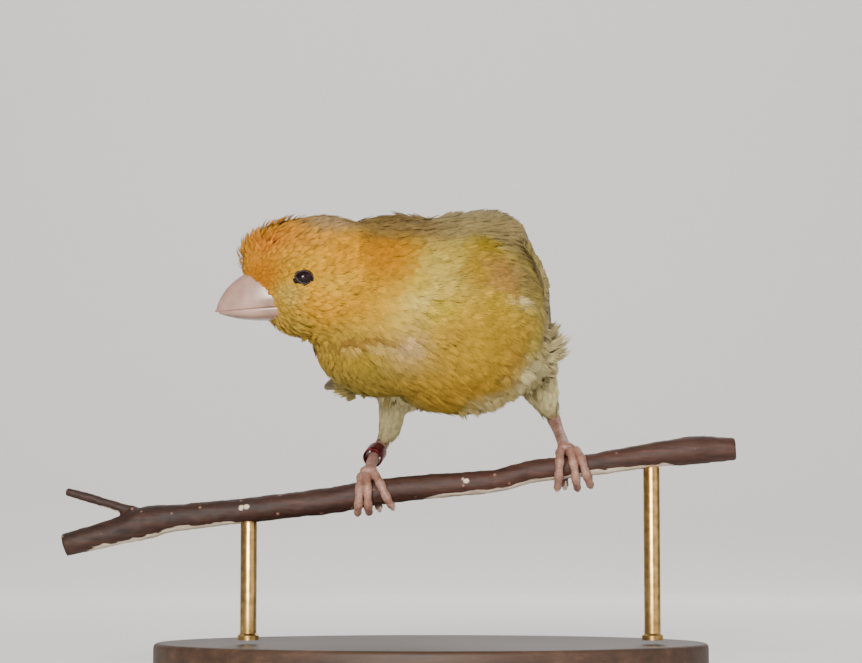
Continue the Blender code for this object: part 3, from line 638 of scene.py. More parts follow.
def scatter(count, wanted, rng):
    """Roots spread evenly where they are wanted: places, normals and places on the unwrap."""
    weight = np.cumsum(triangle_areas * wanted)
    steps = (np.arange(count) + rng.random(count)) / count * weight[-1]
    chosen = np.minimum(np.searchsorted(weight, steps), len(weight) - 1)
    a, b = np.sqrt(rng.random(count)), rng.random(count)
    share = np.stack([1 - a, a * (1 - b), a * b], axis=1)[:, :, None]
    places = np.sum(skin_places[corner_verts[chosen]] * share, axis=1)
    normals = unit(np.sum(skin_normals[corner_verts[chosen]] * share, axis=1))
    flat = np.sum(unwrap[corner_loops[chosen]] * share, axis=1)
    return places, normals, flat


def mesh_from(name, places, faces, shades, flat, smooth=True):
    """An object from arrays of places, triangles, colours and baking places for each corner."""
    mesh = bpy.data.meshes.new(name)
    mesh.vertices.add(len(places))
    mesh.vertices.foreach_set("co", places.astype(np.float32).ravel())
    mesh.loops.add(faces.size)
    mesh.loops.foreach_set("vertex_index", faces.astype(np.int32).ravel())
    mesh.polygons.add(len(faces))
    mesh.polygons.foreach_set("loop_start", np.arange(0, faces.size, 3, dtype=np.int32))
    mesh.update(calc_edges=True)
    layer = mesh.uv_layers.new(name="OFBake")
    layer.data.foreach_set("uv", flat[faces.ravel()].astype(np.float32).ravel())
    store_colour(mesh, shades)
    mesh.polygons.foreach_set("use_smooth", np.full(len(faces), smooth))
    piece = bpy.data.objects.new(name, mesh)
    bpy.context.scene.collection.objects.link(piece)
    return piece


# Each barb has a three-sided ring at its root, one at its middle and a point at its tip
RING_AT = np.array([0.0, 0.45, 1.0])
RING_WIDTH = np.array([0.8, 1.0, 0.0])
BARB_FACES = np.array([(0, 1, 2), (0, 3, 1), (1, 3, 4), (1, 4, 2), (2, 4, 5), (2, 5, 0), (0, 5, 3),
                       (3, 6, 4), (4, 6, 5), (5, 6, 3)])
PATCH = 0.003
# How unlike each other the feathers are: turn in degrees, lift, tone, and a barb's place and length
SWIRL, LIFT_WAVE, LIFT_JITTER = 8.0, 0.2, 0.15
TONE_JITTER, PLACE_JITTER, REACH_JITTER = 0.04, 0.12, 0.06
SWIRL_SPAN, LIFT_SPAN = 7.0, 5.0
# The outline of a fan: its outer barbs are shorter and lower, and all of them overlap
SIDE_SHORTER, SIDE_LOWER, BARB_OVERLAP, BARB_RIDGE = 0.3, 0.12, 1.9, 0.35


def grow_feathers(name, roots, lies, length, width, barbs, rise, rng, shades, stray=7.0, curl=0.1):
    """One mesh of fans on the given roots; length, width and rise are in metres for each root."""
    places, normals, flat = roots
    count = len(places)
    sides = np.cross(normals, lies)
    turn = np.radians(stray * rng.normal(size=count) + SWIRL * ruffle(places, SWIRL_SPAN, 1.0))[:, None]
    lies = lies * np.cos(turn) + sides * np.sin(turn)
    sides = np.cross(normals, lies)
    lift = rise * (1.0 + LIFT_WAVE * ruffle(places, LIFT_SPAN, 2.0)
                   + LIFT_JITTER * rng.normal(size=count))
    tone = 1.0 + TONE_JITTER * rng.normal(size=count)
    across = np.tile(np.linspace(-1.0, 1.0, barbs), count)
    across += PLACE_JITTER * rng.normal(size=count * barbs)
    places, normals, flat, lies, sides, shades = (np.repeat(rows, barbs, axis=0) for rows in (
        places, normals, flat, lies, sides, shades))
    length, width, lift, tone = (np.repeat(rows, barbs) for rows in (length, width, lift, tone))
    reach = length * (1.0 - SIDE_SHORTER * across ** 2)
    reach = reach * (1.0 + REACH_JITTER * rng.normal(size=len(across)))
    lift = lift - SIDE_LOWER * width * across ** 2
    barb = width / barbs * BARB_OVERLAP
    spikes = np.empty((len(across), 7, 3))
    for k, (t, share) in enumerate(zip(RING_AT, RING_WIDTH)):
        spread = width / 2 * across * (0.3 + 0.9 * t - 0.35 * t * t)
        height = lift * t * (1.8 - 0.8 * t) - curl * reach * t * t
        centre = (places + lies * (reach * t)[:, None] + sides * spread[:, None]
                  + normals * height[:, None])
        if k == 2:
            spikes[:, 6] = centre
            continue
        half = (barb * share / 2)[:, None]
        spikes[:, 3 * k] = centre - sides * half
        spikes[:, 3 * k + 1] = centre + sides * half
        spikes[:, 3 * k + 2] = centre + normals * half * BARB_RIDGE
    along = np.array([0.0, 0.0, 0.0, 0.45, 0.45, 0.45, 1.0])
    beside = np.array([-0.5, 0.5, 0.0, -0.5, 0.5, 0.0, 0.0])
    patch = flat[:, None, :] + np.stack([beside, along - 0.5], axis=1)[None] * PATCH
    # Painted shade: each barb darkens towards its root, and the outer barbs of a fan are a little
    # darker
    tint = tone[:, None] * (0.92 + 0.09 * along)[None] * (1.0 - 0.04 * across ** 2)[:, None]
    tints = shades[:, None, :] * tint[:, :, None]
    faces = (BARB_FACES[None] + 7 * np.arange(len(across))[:, None, None]).reshape(-1, 3)
    return mesh_from(name, spikes.reshape(-1, 3), faces, tints.reshape(-1, 3),
                     patch.reshape(-1, 2), smooth=False)


# %% [markdown]
# ## Coat of each region
# Feathers are shortest round the bill and eyes, and grow longer and softer down the neck. The coat
# is cut into pieces by region and side, which keeps each mesh small.

# %% Grow the coat
EYE_FORWARD, EYE_UP = 4.4, -0.7
EYE_OPENING = (1.5, 1.2)
BARBS = 9
COAT_RISE = 0.9
COATS = [
    # name, regions, side of the bird in x, feathers, length, width
    ("coat_head", ("head",), 0, 2150, 2.0, 1.0),
    ("coat_neck_right", ("neck",), -1, 1500, 3.6, 1.5),
    ("coat_neck_left", ("neck",), 1, 1700, 3.6, 1.5),
    ("coat_breast_right", ("torso",), -1, 1900, 4.4, 1.9),
    ("coat_breast_left", ("torso",), 1, 2150, 4.4, 1.9),
    ("coat_back", ("torso",), 0, 1750, 4.8, 2.3),
    ("coat_thigh_right", ("thigh_right",), 0, 480, 2.6, 1.0),
    ("coat_thigh_left", ("thigh_left",), 0, 480, 2.8, 1.0),
]
# Rows of a place along the head's axis and the share of the feathers' length there
HEAD_LENGTHS = [(-6.0, 1.5), (3.0, 1.1), (9.0, 0.75), (13.0, 0.5)]
centres = corners.mean(axis=1)
centre_head = in_frame(TO_HEAD, centres)
eye_away = np.hypot((centre_head[:, 0] - EYE_FORWARD) / EYE_OPENING[0],
                    (centre_head[:, 2] - EYE_UP) / EYE_OPENING[1])
bare = (triangle_regions == "head") & (eye_away < 1.0)
# The breast is what lies before this y or below this height, and its halves meet at this x
BREAST_Y, BELLY_Z, MIDDLE_X = at(0.0, -4.0, 0.0).y, at(0.0, 0.0, 24.0).z, at(4.0, 0.0, 0.0).x
front = (centres[:, 1] < BREAST_Y) | (centres[:, 2] < BELLY_Z)
# No coat grows where a folded wing lies this close over the skin
WING_COVER = 4.0
ups = unit(skin_normals[corner_verts].mean(axis=1))
wing_trees = [surface_tree("wing_left"), surface_tree("wing_right")]
covered = np.array([any(tree.ray_cast(Vector(centre), Vector(up), WING_COVER * MM)[0]
                        for tree in wing_trees) for centre, up in zip(centres, ups)])
print("share of the skin under the wings", round(float(covered.mean()), 3))
for seed, (name, where, half, count, length, width) in enumerate(COATS):
    rng = np.random.default_rng(100 + seed)
    wanted = np.isin(triangle_regions, where) & ~bare & ~covered
    if where == ("torso",):
        wanted &= ~front if name == "coat_back" else front
    if half:
        wanted &= (centres[:, 0] - MIDDLE_X) * half > 0.0
    roots = scatter(count, wanted.astype(float), rng)
    names = regions(roots[0])
    depth = depth_at(roots[0], names)
    forward = in_frame(TO_HEAD, roots[0])[:, 0]
    size = rng.uniform(0.85, 1.15, count)
    if name == "coat_head":
        size *= np.interp(forward, *np.array(HEAD_LENGTHS).T)
    shades = painted(roots[0])
    if name.startswith("coat_thigh"):
        shades = np.tile(srgb(THIGH_COLOUR), (count, 1))
    coat = grow_feathers(name, roots, lie_at(roots[0], roots[1], names), size * length * MM,
                         size * width * MM, BARBS, depth * COAT_RISE, rng, shades)
    finish_piece(coat, name, DOWN, "head_plumage" if name == "coat_head" else "body_plumage")

# %% [markdown]
# A living bird is never quite sleek. A few feathers stand up over the bill, the throat bulges where
# the neck bends, and loose pale ones stick out at the flank and under the belly.

# %% Loose feathers
LOOSE = [
    # name, place, radius, feathers, direction, length, width, rise
    ("forehead", (-31.8, -27.0, 40.5), 2.6, 80, (-0.3, 0.1, 1.0), 1.9, 0.7, 1.15),
    ("crown", (-27.0, -26.0, 44.0), 3.6, 90, (0.9, 0.1, 0.3), 2.0, 0.9, 1.1),
    ("throat", (-17.5, -26.0, 22.5), 3.2, 60, (-0.1, 0.1, -1.0), 2.2, 1.2, 0.7),
    ("flank tip", (21.5, -8.0, 25.0), 2.4, 42, (1.0, 0.3, 0.2), 5.8, 1.6, 3.2),
    ("flank fluff", (18.5, -12.0, 18.0), 4.5, 160, (0.5, 0.7, -0.4), 4.4, 1.8, 2.1),
    ("thigh fluff", (18.5, -4.0, 17.0), 3.2, 80, (0.3, 0.4, -0.9), 3.6, 1.6, 1.2),
    ("belly fluff", (11.0, -14.0, 13.0), 4.0, 120, (0.4, 0.8, -0.4), 4.2, 1.6, 1.9),
]
for seed, (name, spot, radius, count, along, length, width, rise) in enumerate(LOOSE):
    rng = np.random.default_rng(40 + seed)
    away = np.linalg.norm(centres - np.array(at(*spot)), axis=1) / (radius * MM)
    roots = scatter(count, np.exp(-away ** 2) * (away < 2.0), rng)
    lies = np.tile(unit(np.array(along)), (count, 1))
    lies = unit(lies - roots[1] * np.sum(lies * roots[1], axis=1, keepdims=True))
    size = rng.uniform(0.75, 1.1, count) * MM
    loose = grow_feathers("loose", roots, lies, size * length, size * width, BARBS, size * rise, rng,
                          painted(roots[0]), stray=14.0, curl=0.0)
    finish_piece(loose, "loose_" + name.replace(" ", "_"), DOWN, "body_plumage")

# %% [markdown]
# ## Bill, legs and claws: one way of making a tapered tube
# A bill, a shank, a toe and a claw are all tubes that change size along a bent line. A disc is
# extruded once for each station, and each ring is then moved to its station.

# %% A tube through stations


def tube_through(name, stations, sides, square=1.0):
    """A closed tube. Each station is a centre, an axis to the side, and one up and one down."""
    pick()
    bpy.ops.mesh.primitive_circle_add(vertices=sides, radius=1.0, fill_type="NGON")
    piece = bpy.context.object
    extrude = (bpy.ops.mesh.extrude_region_move, {"TRANSFORM_OT_translate": {"value": (0, 0, 1)}})
    edit(piece, *[extrude] * (len(stations) - 1))
    places = vertices_of(piece.data)
    ring = np.rint(places[:, 2]).astype(int)
    centre, side, up, down = (np.array([station[i] for station in stations])[ring]
                              for i in range(4))
    turn = np.sign(places[:, :2]) * np.abs(places[:, :2]) ** square
    rise = turn[:, 1:2]
    places = centre + side * turn[:, 0:1] + np.where(rise > 0.0, up * rise, down * -rise)
    piece.data.vertices.foreach_set("co", places.ravel())
    edit(piece, (bpy.ops.mesh.normals_make_consistent, {"inside": False}))
    pick(piece)
    bpy.ops.object.shade_smooth()
    piece.name = name
    return piece


def round_stations(points, side_hint):
    """Stations of a round tube through rows of x, y, z and radius in millimetres."""
    rows = np.array(points, dtype=float)
    centres = [np.array(at(*row[:3])) for row in rows]
    runs = np.gradient(np.array(centres), axis=0)
    stations = []
    for centre, run, radius in zip(centres, runs, rows[:, 3]):
        side = unit(np.cross(run, side_hint)) * radius * MM
        up = unit(np.cross(side, run)) * radius * MM
        stations.append((centre, side, up, -up))
    return stations


def smooth_path(knots, count):
    """Rows read evenly from a smooth curve through a few knots."""
    table = np.array(knots, dtype=float)
    ends = np.vstack([2 * table[0] - table[1], table, 2 * table[-1] - table[-2]])
    rows = []
    for place in np.linspace(0.0, len(table) - 1.000001, count):
        i = int(place)
        t = place - i
        a, b, c, d = ends[i:i + 4]
        rows.append(0.5 * (2 * b + (c - a) * t + (2 * a - 5 * b + 4 * c - d) * t ** 2
                           + (3 * b - a - 3 * c + d) * t ** 3))
    return np.array(rows)


# %% [markdown]
# ## Bill
# A canary's bill is a short cone in two halves. The upper one curves down to its tip and the lower
# one rises to meet it, with a fine dark line between. It starts inside the head, so that the small
# feathers at its base grow over it.

# %% Both halves of the bill
# All in millimetres in the head's frame: how far forward, and how high
BILL_BACK, BILL_CHEEK, BILL_TIP, BILL_HALF_WIDTH = 5.0, 8.0, 19.4, 4.35
BILL_TAPER, LOWER_SHARE, LEAST, GAPE_GAP = 1.55, 0.92, 0.05, 0.06
BILL_RINGS = 28
GAPE = (-4.9, -3.5)
CULMEN = [(5.0, 3.4), (16.8, 3.4), (19.4, -3.7)]
KEEL = [(5.0, -7.0), (14.5, -6.4), (18.8, -3.9)]


def arc_of(points, t):
    """A point on the flat curve of three control points."""
    a, b, c = (np.array(point) for point in points)
    return a * (1 - t) ** 2 + b * 2 * t * (1 - t) + c * t ** 2


axes = HEAD.to_3x3()
for name, edge, way in (("bill_upper", CULMEN, 1.0), ("bill_lower", KEEL, -1.0)):
    stations = []
    for step in np.linspace(0.0, 1.0, BILL_RINGS):
        forward, height = arc_of(edge, step)
        share = (forward - BILL_BACK) / (BILL_TIP - BILL_BACK)
        gape = GAPE[0] + (GAPE[1] - GAPE[0]) * share + way * GAPE_GAP
        tall = max(abs(height - gape), LEAST)
        taper = max(forward - BILL_CHEEK, 0.0) / (BILL_TIP - BILL_CHEEK)
        half_width = BILL_HALF_WIDTH * (1.0 if way > 0 else LOWER_SHARE)
        wide = max(half_width * (1.0 - taper ** BILL_TAPER), LEAST)
        flat = 0.12 if way > 0 else 0.05
        centre = HEAD @ (Vector((forward, 0.0, gape)) * MM)
        side = axes @ Vector((0.0, wide, 0.0)) * MM
        outer, inner = (axes @ Vector((0.0, 0.0, reach)) * MM for reach in (tall * way, -flat * way))
        up, down = (outer, inner) if way > 0 else (inner, outer)
        stations.append(tuple(np.array(v) for v in (centre, side, up, down)))
    half = tube_through(name, stations, 40, square=0.8)
    finish_piece(half, name + "_horn", BILL_HORN, "bill_horn", name)

# %% [markdown]
# ## Eyes and lids
# The eye of a small finch is almost all dark iris. It is a slightly flattened ball, and a ring of
# bare skin, drawn out to a point at each corner, closes round it.

# %% Eyes behind their lids
EYE_RADII = (2.15, 2.78, 1.8)
LID_RADII = (1.4, 1.12)
LID_TURN = 24.0
LID_THICK, LID_DEPTH, LID_SINK, CORNER_REACH = 0.14, 1.7, 0.12, 0.35
for name, side in (("eye_left", 1.0), ("eye_right", -1.0)):
    low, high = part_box(name)
    middle = HEAD.inverted() @ ((low + high) / 2) / MM
    pick()
    bpy.ops.mesh.primitive_uv_sphere_add(segments=40, ring_count=28, radius=MM)
    ball = bpy.context.object
    ball.matrix_world = HEAD @ Matrix.Translation(middle * MM) @ Matrix.Diagonal((*EYE_RADII, 1.0))
    pick(ball)
    bpy.ops.object.shade_smooth()
    finish_piece(ball, name + "_ball", EYE, "dark_eye", name)
    pick()
    bpy.ops.mesh.primitive_torus_add(major_segments=48, minor_segments=12, major_radius=1.0,
                                     minor_radius=LID_THICK)
    lid = bpy.context.object
    ring = vertices_of(lid.data)
    angle = np.arctan2(ring[:, 1], ring[:, 0])
    corner = np.abs(np.cos(angle)) ** 8
    ring[:, 0] *= LID_RADII[0] + CORNER_REACH * corner
    ring[:, 1] *= LID_RADII[1]
    spot = (ring[:, 0] / EYE_RADII[0]) ** 2 + (ring[:, 1] / EYE_RADII[2]) ** 2
    dome = EYE_RADII[1] * np.sqrt(np.maximum(1.0 - spot, 0.02))
    ring[:, 2] = ring[:, 2] * LID_DEPTH + dome - LID_SINK
    lid.data.vertices.foreach_set("co", (ring * MM).ravel())
    turn = Matrix.Rotation(math.radians(-LID_TURN), 4, "Y") @ Matrix.Rotation(
        math.radians(-90.0 * side), 4, "X")
    lid.matrix_world = HEAD @ Matrix.Translation(middle * MM) @ turn
    pick(lid)
    bpy.ops.object.transform_apply(location=True, rotation=True, scale=True)
    edit(lid, (bpy.ops.mesh.normals_make_consistent, {"inside": False}))
    pick(lid)
    bpy.ops.object.shade_smooth()
    finish_piece(lid, name.replace("eye", "lids"), lid_material, "leg_skin")

# %% [markdown]
# ## Branch
# The perch is a short cut length of fruit-tree branch with a fork. It is a long tube with many rings,
# so that a clouds texture can press bark, knots and dents into it.

# %% Bark
# x, z and radius along the axis, in millimetres
BRANCH = [(-66.5, -10.7, 2.1), (-57.3, -8.3, 2.5), (-51.1, -6.5, 3.0), (-46.0, -5.7, 2.5),
          (-32.9, -4.3, 2.3), (-18.4, -2.6, 2.45), (-10.7, -1.2, 2.4), (0.0, 0.0, 2.3),
          (11.1, 0.9, 2.15), (18.0, 2.6, 2.1), (28.9, 3.9, 2.05), (39.8, 5.6, 2.3),
          (47.6, 6.5, 2.6), (55.3, 6.8, 2.1)]
# x, y, z and radius
TWIG = [(-49.5, 0.0, -6.2, 1.5), (-54.5, 0.6, -4.4, 1.0), (-60.5, 1.2, -2.6, 0.9),
        (-66.5, 1.8, -0.9, 0.85)]


def branch_at(x):
    """Height and radius of the branch at x."""
    table = np.array(BRANCH)
    return np.interp(x, table[:, 0], table[:, 1]), np.interp(x, table[:, 0], table[:, 2])


def bark_material():
    """Smooth red-brown bark: dull, streaked along its length, with pale lenticels and torn strips."""
    material, tree, shader, place = new_material("red-brown twig bark", Roughness=0.62,
                                                 Specular_IOR_Level=0.3)
    long_way = add_node(tree, "ShaderNodeMapping", {"Vector": place, "Scale": (0.16, 1.0, 1.0)})
    streak = add_node(tree, "ShaderNodeTexNoise", {"Vector": long_way.outputs["Vector"],
                                                   "Scale": 1 / (1.1 * MM), "Detail": 5.0,
                                                   "Roughness": 0.65})
    brown = add_node(tree, "ShaderNodeValToRGB", {"Fac": streak.outputs["Fac"]},
                     stops=[(0.3, "23140f"), (0.55, "3a2118"), (0.8, "523125")])
    # The bark is darker towards the left, where the fork is
    parts = add_node(tree, "ShaderNodeSeparateXYZ", {"Vector": place})
    leftward_darkening = add_node(tree, "ShaderNodeMapRange", {"Value": parts.outputs["X"], "From Min": -40.0 * MM,
                                                "From Max": 10.0 * MM, "To Min": 0.62})
    darkened_brown = add_node(tree, "ShaderNodeVectorMath", {0: brown.outputs["Color"],
                                                   1: leftward_darkening.outputs["Result"]}, operation="MULTIPLY")
    # Lenticels are pale dots about 0.5 mm across and some 3 mm apart
    dots = add_node(tree, "ShaderNodeTexVoronoi", {"Vector": place, "Scale": 1 / (3.0 * MM)})
    dot = add_node(tree, "ShaderNodeMapRange", {"Value": dots.outputs["Distance"],
                                                "From Min": 0.12, "From Max": 0.05})
    spotted = add_node(tree, "ShaderNodeMix", {"Factor": dot.outputs["Result"],
                                               "A": darkened_brown.outputs["Vector"],
                                               "B": colour("755646")}, data_type="RGBA")
    strip = add_node(tree, "ShaderNodeAttribute", attribute_name="torn")
    ragged = add_node(tree, "ShaderNodeTexNoise", {"Vector": long_way.outputs["Vector"],
                                                   "Scale": 1 / (2.0 * MM), "Detail": 4.0})
    edge = add_node(tree, "ShaderNodeMath", {0: strip.outputs["Fac"], 1: ragged.outputs["Fac"]},
                    operation="ADD")
    torn = add_node(tree, "ShaderNodeMapRange", {"Value": edge.outputs[0], "From Min": 1.08,
                                                 "From Max": 1.2})
    wood = add_node(tree, "ShaderNodeValToRGB", {"Fac": streak.outputs["Fac"]},
                    stops=[(0.3, "a08b76"), (0.7, "cdbfae")])
    peeled = add_node(tree, "ShaderNodeMix", {"Factor": torn.outputs["Result"],
                                              "A": spotted.outputs["Result"],
                                              "B": wood.outputs["Color"]}, data_type="RGBA")
    tree.links.new(peeled.outputs["Result"], shader.inputs["Base Color"])
    bump = add_node(tree, "ShaderNodeBump", {"Height": streak.outputs["Fac"], "Strength": 0.5,
                                             "Distance": 0.2 * MM})
    tree.links.new(bump.outputs["Normal"], shader.inputs["Normal"])
    return material


knots = [(x, 0.0, z, radius) for x, z, radius in BRANCH]
branch = tube_through("branch", round_stations(smooth_path(knots, 150), (0.0, 1.0, 0.0)), 28)
twig = tube_through("twig", round_stations(smooth_path(TWIG, 30), (0.0, 1.0, 0.0)), 18)
pick(branch, twig)
bpy.ops.object.join()
branch = bpy.context.object
modify(branch, "REMESH", mode="VOXEL", voxel_size=0.35 * MM)
modify(branch, "SMOOTH", factor=0.5, iterations=6)
grain = bpy.data.textures.new("bark dents", "CLOUDS")
grain.noise_scale = 2.2 * MM
grain.noise_depth = 3
modify(branch, "DISPLACE", texture=grain, texture_coords="GLOBAL", strength=0.35 * MM, mid_level=0.6)
bark_places = vertices_of(branch.data)
bark_normals = normals_of(branch.data)
across = bark_places[:, 0] / MM
TORN_STRIPS = [(-66.0, -30.0), (-4.0, 48.0)]
# Two small worn places on the front: x, rise over the axis and radius
WORN_SPOTS = [(-34.3, 0.5, 0.8), (-33.3, 0.6, 0.7), (5.7, 1.0, 0.7), (6.4, 0.6, 0.9)]
torn = np.zeros(len(across))
for start, end in TORN_STRIPS:
    span = np.clip(np.minimum(across - start, end - across) / 6.0, 0.0, 1.0)
    facing = np.clip(-bark_normals[:, 2] * 1.6 - 0.5, 0.0, 1.0)
    torn = np.maximum(torn, span * facing)
for spot_x, rise, radius in WORN_SPOTS:
    height, thick = branch_at(spot_x)
    spot = np.array(at(spot_x, -math.sqrt(thick ** 2 - rise ** 2), height + rise))
    away = np.linalg.norm(bark_places - spot, axis=1) / (radius * MM)
    torn = np.maximum(torn, np.clip(0.9 - 0.5 * away, 0.0, 1.0))
strip_layer = branch.data.attributes.new("torn", "FLOAT", "POINT")
strip_layer.data.foreach_set("value", torn.astype(np.float32))
pick(branch)
bpy.ops.object.shade_smooth()
finish_piece(branch, "branch_bark", bark_material(), "bark", "perch_branch")

# %% [markdown]
# ## Feet
# The toes of a perching bird curl round the perch: three forward and one back. The path of each toe
# is an arc about the branch, and the pads under its joints make it swell and narrow.

# %% Shanks, toes and claws
# x, y, z and radius at the heel, the ring and the foot
SHANKS = {"right": [(-9.0, 13.8, 8.4, 1.35), (-10.4, 8.6, 6.0, 1.05), (-11.2, 0.6, 2.9, 1.1)],
          "left": [(22.9, 13.0, 13.0, 1.35), (23.6, 8.2, 10.4, 1.05), (24.3, 0.6, 7.2, 1.1)]}
PADS = {"right": (-11.3, -0.4, 2.75), "left": (24.5, -0.4, 7.0)}
# For each toe: x at its root and at its tip, and its first and last angle about the branch
TOES = {
    "right": {"inner": (-10.2, -7.0, 24.0, 150.0), "middle": (-11.6, -11.2, 26.0, 185.0),
              "outer": (-12.6, -13.3, 24.0, 165.0), "hind": (-11.0, -9.4, -26.0, -150.0)},
    "left": {"inner": (23.4, 22.8, 24.0, 160.0), "middle": (25.2, 26.6, 26.0, 182.0),
             "outer": (26.2, 29.0, 22.0, 170.0), "hind": (24.4, 24.4, -26.0, -150.0)},
}
TOE_DROOP = {"right": 0.0, "left": 0.9}
TOE_RADIUS, CLAW_RADIUS, CLAW_TURN, TOE_GAP = 0.82, 0.5, 62.0, 0.05
SCUTES, SHANK_SIDES, TOE_SIDES, CLAW_SIDES = 9.0, 18, 16, 12


def grip_point(x, angle, reach):
    """A place at an angle about the branch, at a distance reach from its axis."""
    around = math.radians(angle)
    return (x, -reach * math.sin(around), branch_at(x)[0] + reach * math.cos(around))


for side in ("right", "left"):
    rows = smooth_path(SHANKS[side], 46)
    scutes = np.linspace(0.0, SCUTES, len(rows)) % 1.0
    rows[:, 3] *= 0.95 + 0.08 * scutes
    shank = tube_through("shank", round_stations(rows, (1.0, 0.0, 0.0)), SHANK_SIDES)
    pick()
    bpy.ops.mesh.primitive_uv_sphere_add(segments=24, ring_count=16, radius=1.35 * MM,
                                         location=at(*PADS[side]), scale=(1.2, 1.0, 0.8))
    pad = bpy.context.object
    pick(shank, pad)
    bpy.ops.object.join()
    modify(shank, "REMESH", mode="VOXEL", voxel_size=0.14 * MM)
    modify(shank, "SMOOTH", factor=0.5, iterations=2)
    pick(shank)
    bpy.ops.object.shade_smooth()
    finish_piece(shank, "shank_%s_skin" % side, LEG_SKIN, "leg_skin", "shank_" + side)
    for toe, (x_root, x_tip, start, end) in TOES[side].items():
        points = []
        for t in np.linspace(-0.06, 1.0, 36):
            x = x_root + (x_tip - x_root) * t
            thick = TOE_RADIUS * (1.04 - 0.14 * t + 0.1 * math.cos(6.0 * math.pi * t)
                                  + 0.03 * math.cos(36.0 * math.pi * t))
            thick *= min(1.0, 0.55 + 6.0 * (1.0 - t))
            reach = branch_at(x)[1] + TOE_GAP + TOE_RADIUS + 0.1 + TOE_DROOP[side] * t
            points.append((*grip_point(x, start + (end - start) * t, reach), thick))
        digit = tube_through(toe, round_stations(points, (1.0, 0.0, 0.0)), TOE_SIDES)
        finish_piece(digit, "toe_%s_%s_skin" % (side, toe), LEG_SKIN, "leg_skin",
                     "toe_%s_%s" % (side, toe))
        points = []
        for t in np.linspace(-0.15, 1.0, 18):
            x = x_tip + (x_tip - x_root) * 0.15 * t
            angle = end + math.copysign(CLAW_TURN, end) * t
            reach = (branch_at(x)[1] + TOE_GAP + TOE_RADIUS + 0.25 + TOE_DROOP[side]
                     - (0.3 + TOE_DROOP[side]) * t)
            points.append((*grip_point(x, angle, reach), CLAW_RADIUS * (1.0 - 0.88 * max(t, 0.0))))
        claw = tube_through("claw", round_stations(points, (1.0, 0.0, 0.0)), CLAW_SIDES)
        finish_piece(claw, "claw_%s_%s_horn" % (side, toe), CLAW_HORN, "claw_horn",
                     "claw_%s_%s" % (side, toe))

# %% [markdown]
# ## Leg ring
# A breeder's closed ring is a short aluminium tube, dyed by anodising, that slides on a chick's foot
# and later cannot come off. Its rims are rounded, and scuffs of wear pale it in places.

# %% Ring
RING_RADIUS, RING_WALL, RING_HEIGHT = 1.85, 0.35, 3.4
ring_material, tree, shader, place = new_material("dyed anodised aluminium", Metallic=0.85,
                                                  Roughness=0.38)
scuffs = add_node(tree, "ShaderNodeTexNoise", {"Vector": place, "Scale": 1 / (0.7 * MM),
                                                "Detail": 3.0})
dye = add_node(tree, "ShaderNodeValToRGB", {"Fac": scuffs.outputs["Fac"]},
               stops=[(0.35, "541720"), (0.62, "74232e"), (0.8, "a06a6c")])
tree.links.new(dye.outputs["Color"], shader.inputs["Base Color"])
top, middle = at(*SHANKS["right"][0][:3]), at(*SHANKS["right"][1][:3])
pick()
bpy.ops.mesh.primitive_cylinder_add(vertices=64, radius=RING_RADIUS * MM, depth=RING_HEIGHT * MM,
                                    end_fill_type="NOTHING")
band = bpy.context.object
modify(band, "SOLIDIFY", thickness=RING_WALL * MM)
modify(band, "BEVEL", width=0.1 * MM, segments=2, limit_method="ANGLE")
band.matrix_world = (Matrix.Translation(middle)
                     @ (middle - top).to_track_quat("Z", "Y").to_matrix().to_4x4())
pick(band)
bpy.ops.object.shade_smooth_by_angle(angle=math.radians(35))
finish_piece(band, "ring_band", ring_material, "ring_aluminium", "leg_ring")

# %% [markdown]
# ## Flight feathers
# A wing is read by its tiers: long primaries and secondaries, tertials over them, and rows of
# coverts. All lie on one smooth sheet over the trunk's side, which is found by looking in at the
# trunk from outside. A vane is a thin closed blade, cambered across, with its shaft as a ridge.

# %% The sheet that the folded wing lies on
# Along the body, lowest and highest angle about it, and least distance from its axis
WING_SHEET = [(15.0, -14.0, 48.0, 14.0), (2.0, -24.0, 58.0, 17.0), (-14.0, -26.0, 64.0, 17.5),
              (-30.0, -20.0, 62.0, 14.0), (-42.0, -10.0, 58.0, 9.0), (-54.0, 5.0, 52.0, 4.6)]
WING_LIFT = 0.35
torso_tree = surface_tree("torso")


def wing_sheet(side, rows=49, columns=21):
    """Places on the folded wing, clear of the trunk, and the normals there."""
    table = smooth_path(WING_SHEET, rows)
    share = np.linspace(0.0, 1.0, columns)
    angles = np.radians(table[:, 1:2] + (table[:, 2:3] - table[:, 1:2]) * share)
    outward = np.stack([angles * 0.0, np.cos(angles) * side, np.sin(angles)], axis=2)
    middle = np.zeros_like(outward)
    middle[:, :, 0] = table[:, 0:1]
    turn, move = np.array(BODY.to_3x3()), np.array(BODY.translation)
    least = np.zeros_like(angles)
    for i, j in np.ndindex(rows, columns):
        start = (middle[i, j] + outward[i, j] * 50.0) * MM @ turn.T + move
        distance = torso_tree.ray_cast(Vector(start), Vector(-outward[i, j] @ turn.T))[3]
        least[i, j] = 50.0 - distance / MM + WING_LIFT if distance else 0.0
    reach = np.maximum(least, table[:, 3:4])
    for _ in range(30):
        padded = np.pad(reach, 1, mode="edge")
        around = (padded[2:, 1:-1] + padded[:-2, 1:-1] + padded[1:-1, 2:] + padded[1:-1, :-2]) / 4
        reach = np.maximum(0.5 * reach + 0.5 * around, least)
    grid = (middle + outward * reach[:, :, None]) * MM @ turn.T + move
    normals = unit(np.cross(np.gradient(grid, axis=0), np.gradient(grid, axis=1)) * side)
    return grid, normals


def read_grid(grid, p, q):
    """A value between the points of a grid."""
    rows, columns = grid.shape[:2]
    i = min(max(p, 0.0), 0.9999) * (rows - 1)
    j = min(max(q, 0.0), 0.9999) * (columns - 1)
    a, b = int(i), int(j)
    s, t = i - a, j - b
    return ((1 - s) * (1 - t) * grid[a, b] + s * (1 - t) * grid[a + 1, b]
            + (1 - s) * t * grid[a, b + 1] + s * t * grid[a + 1, b + 1])


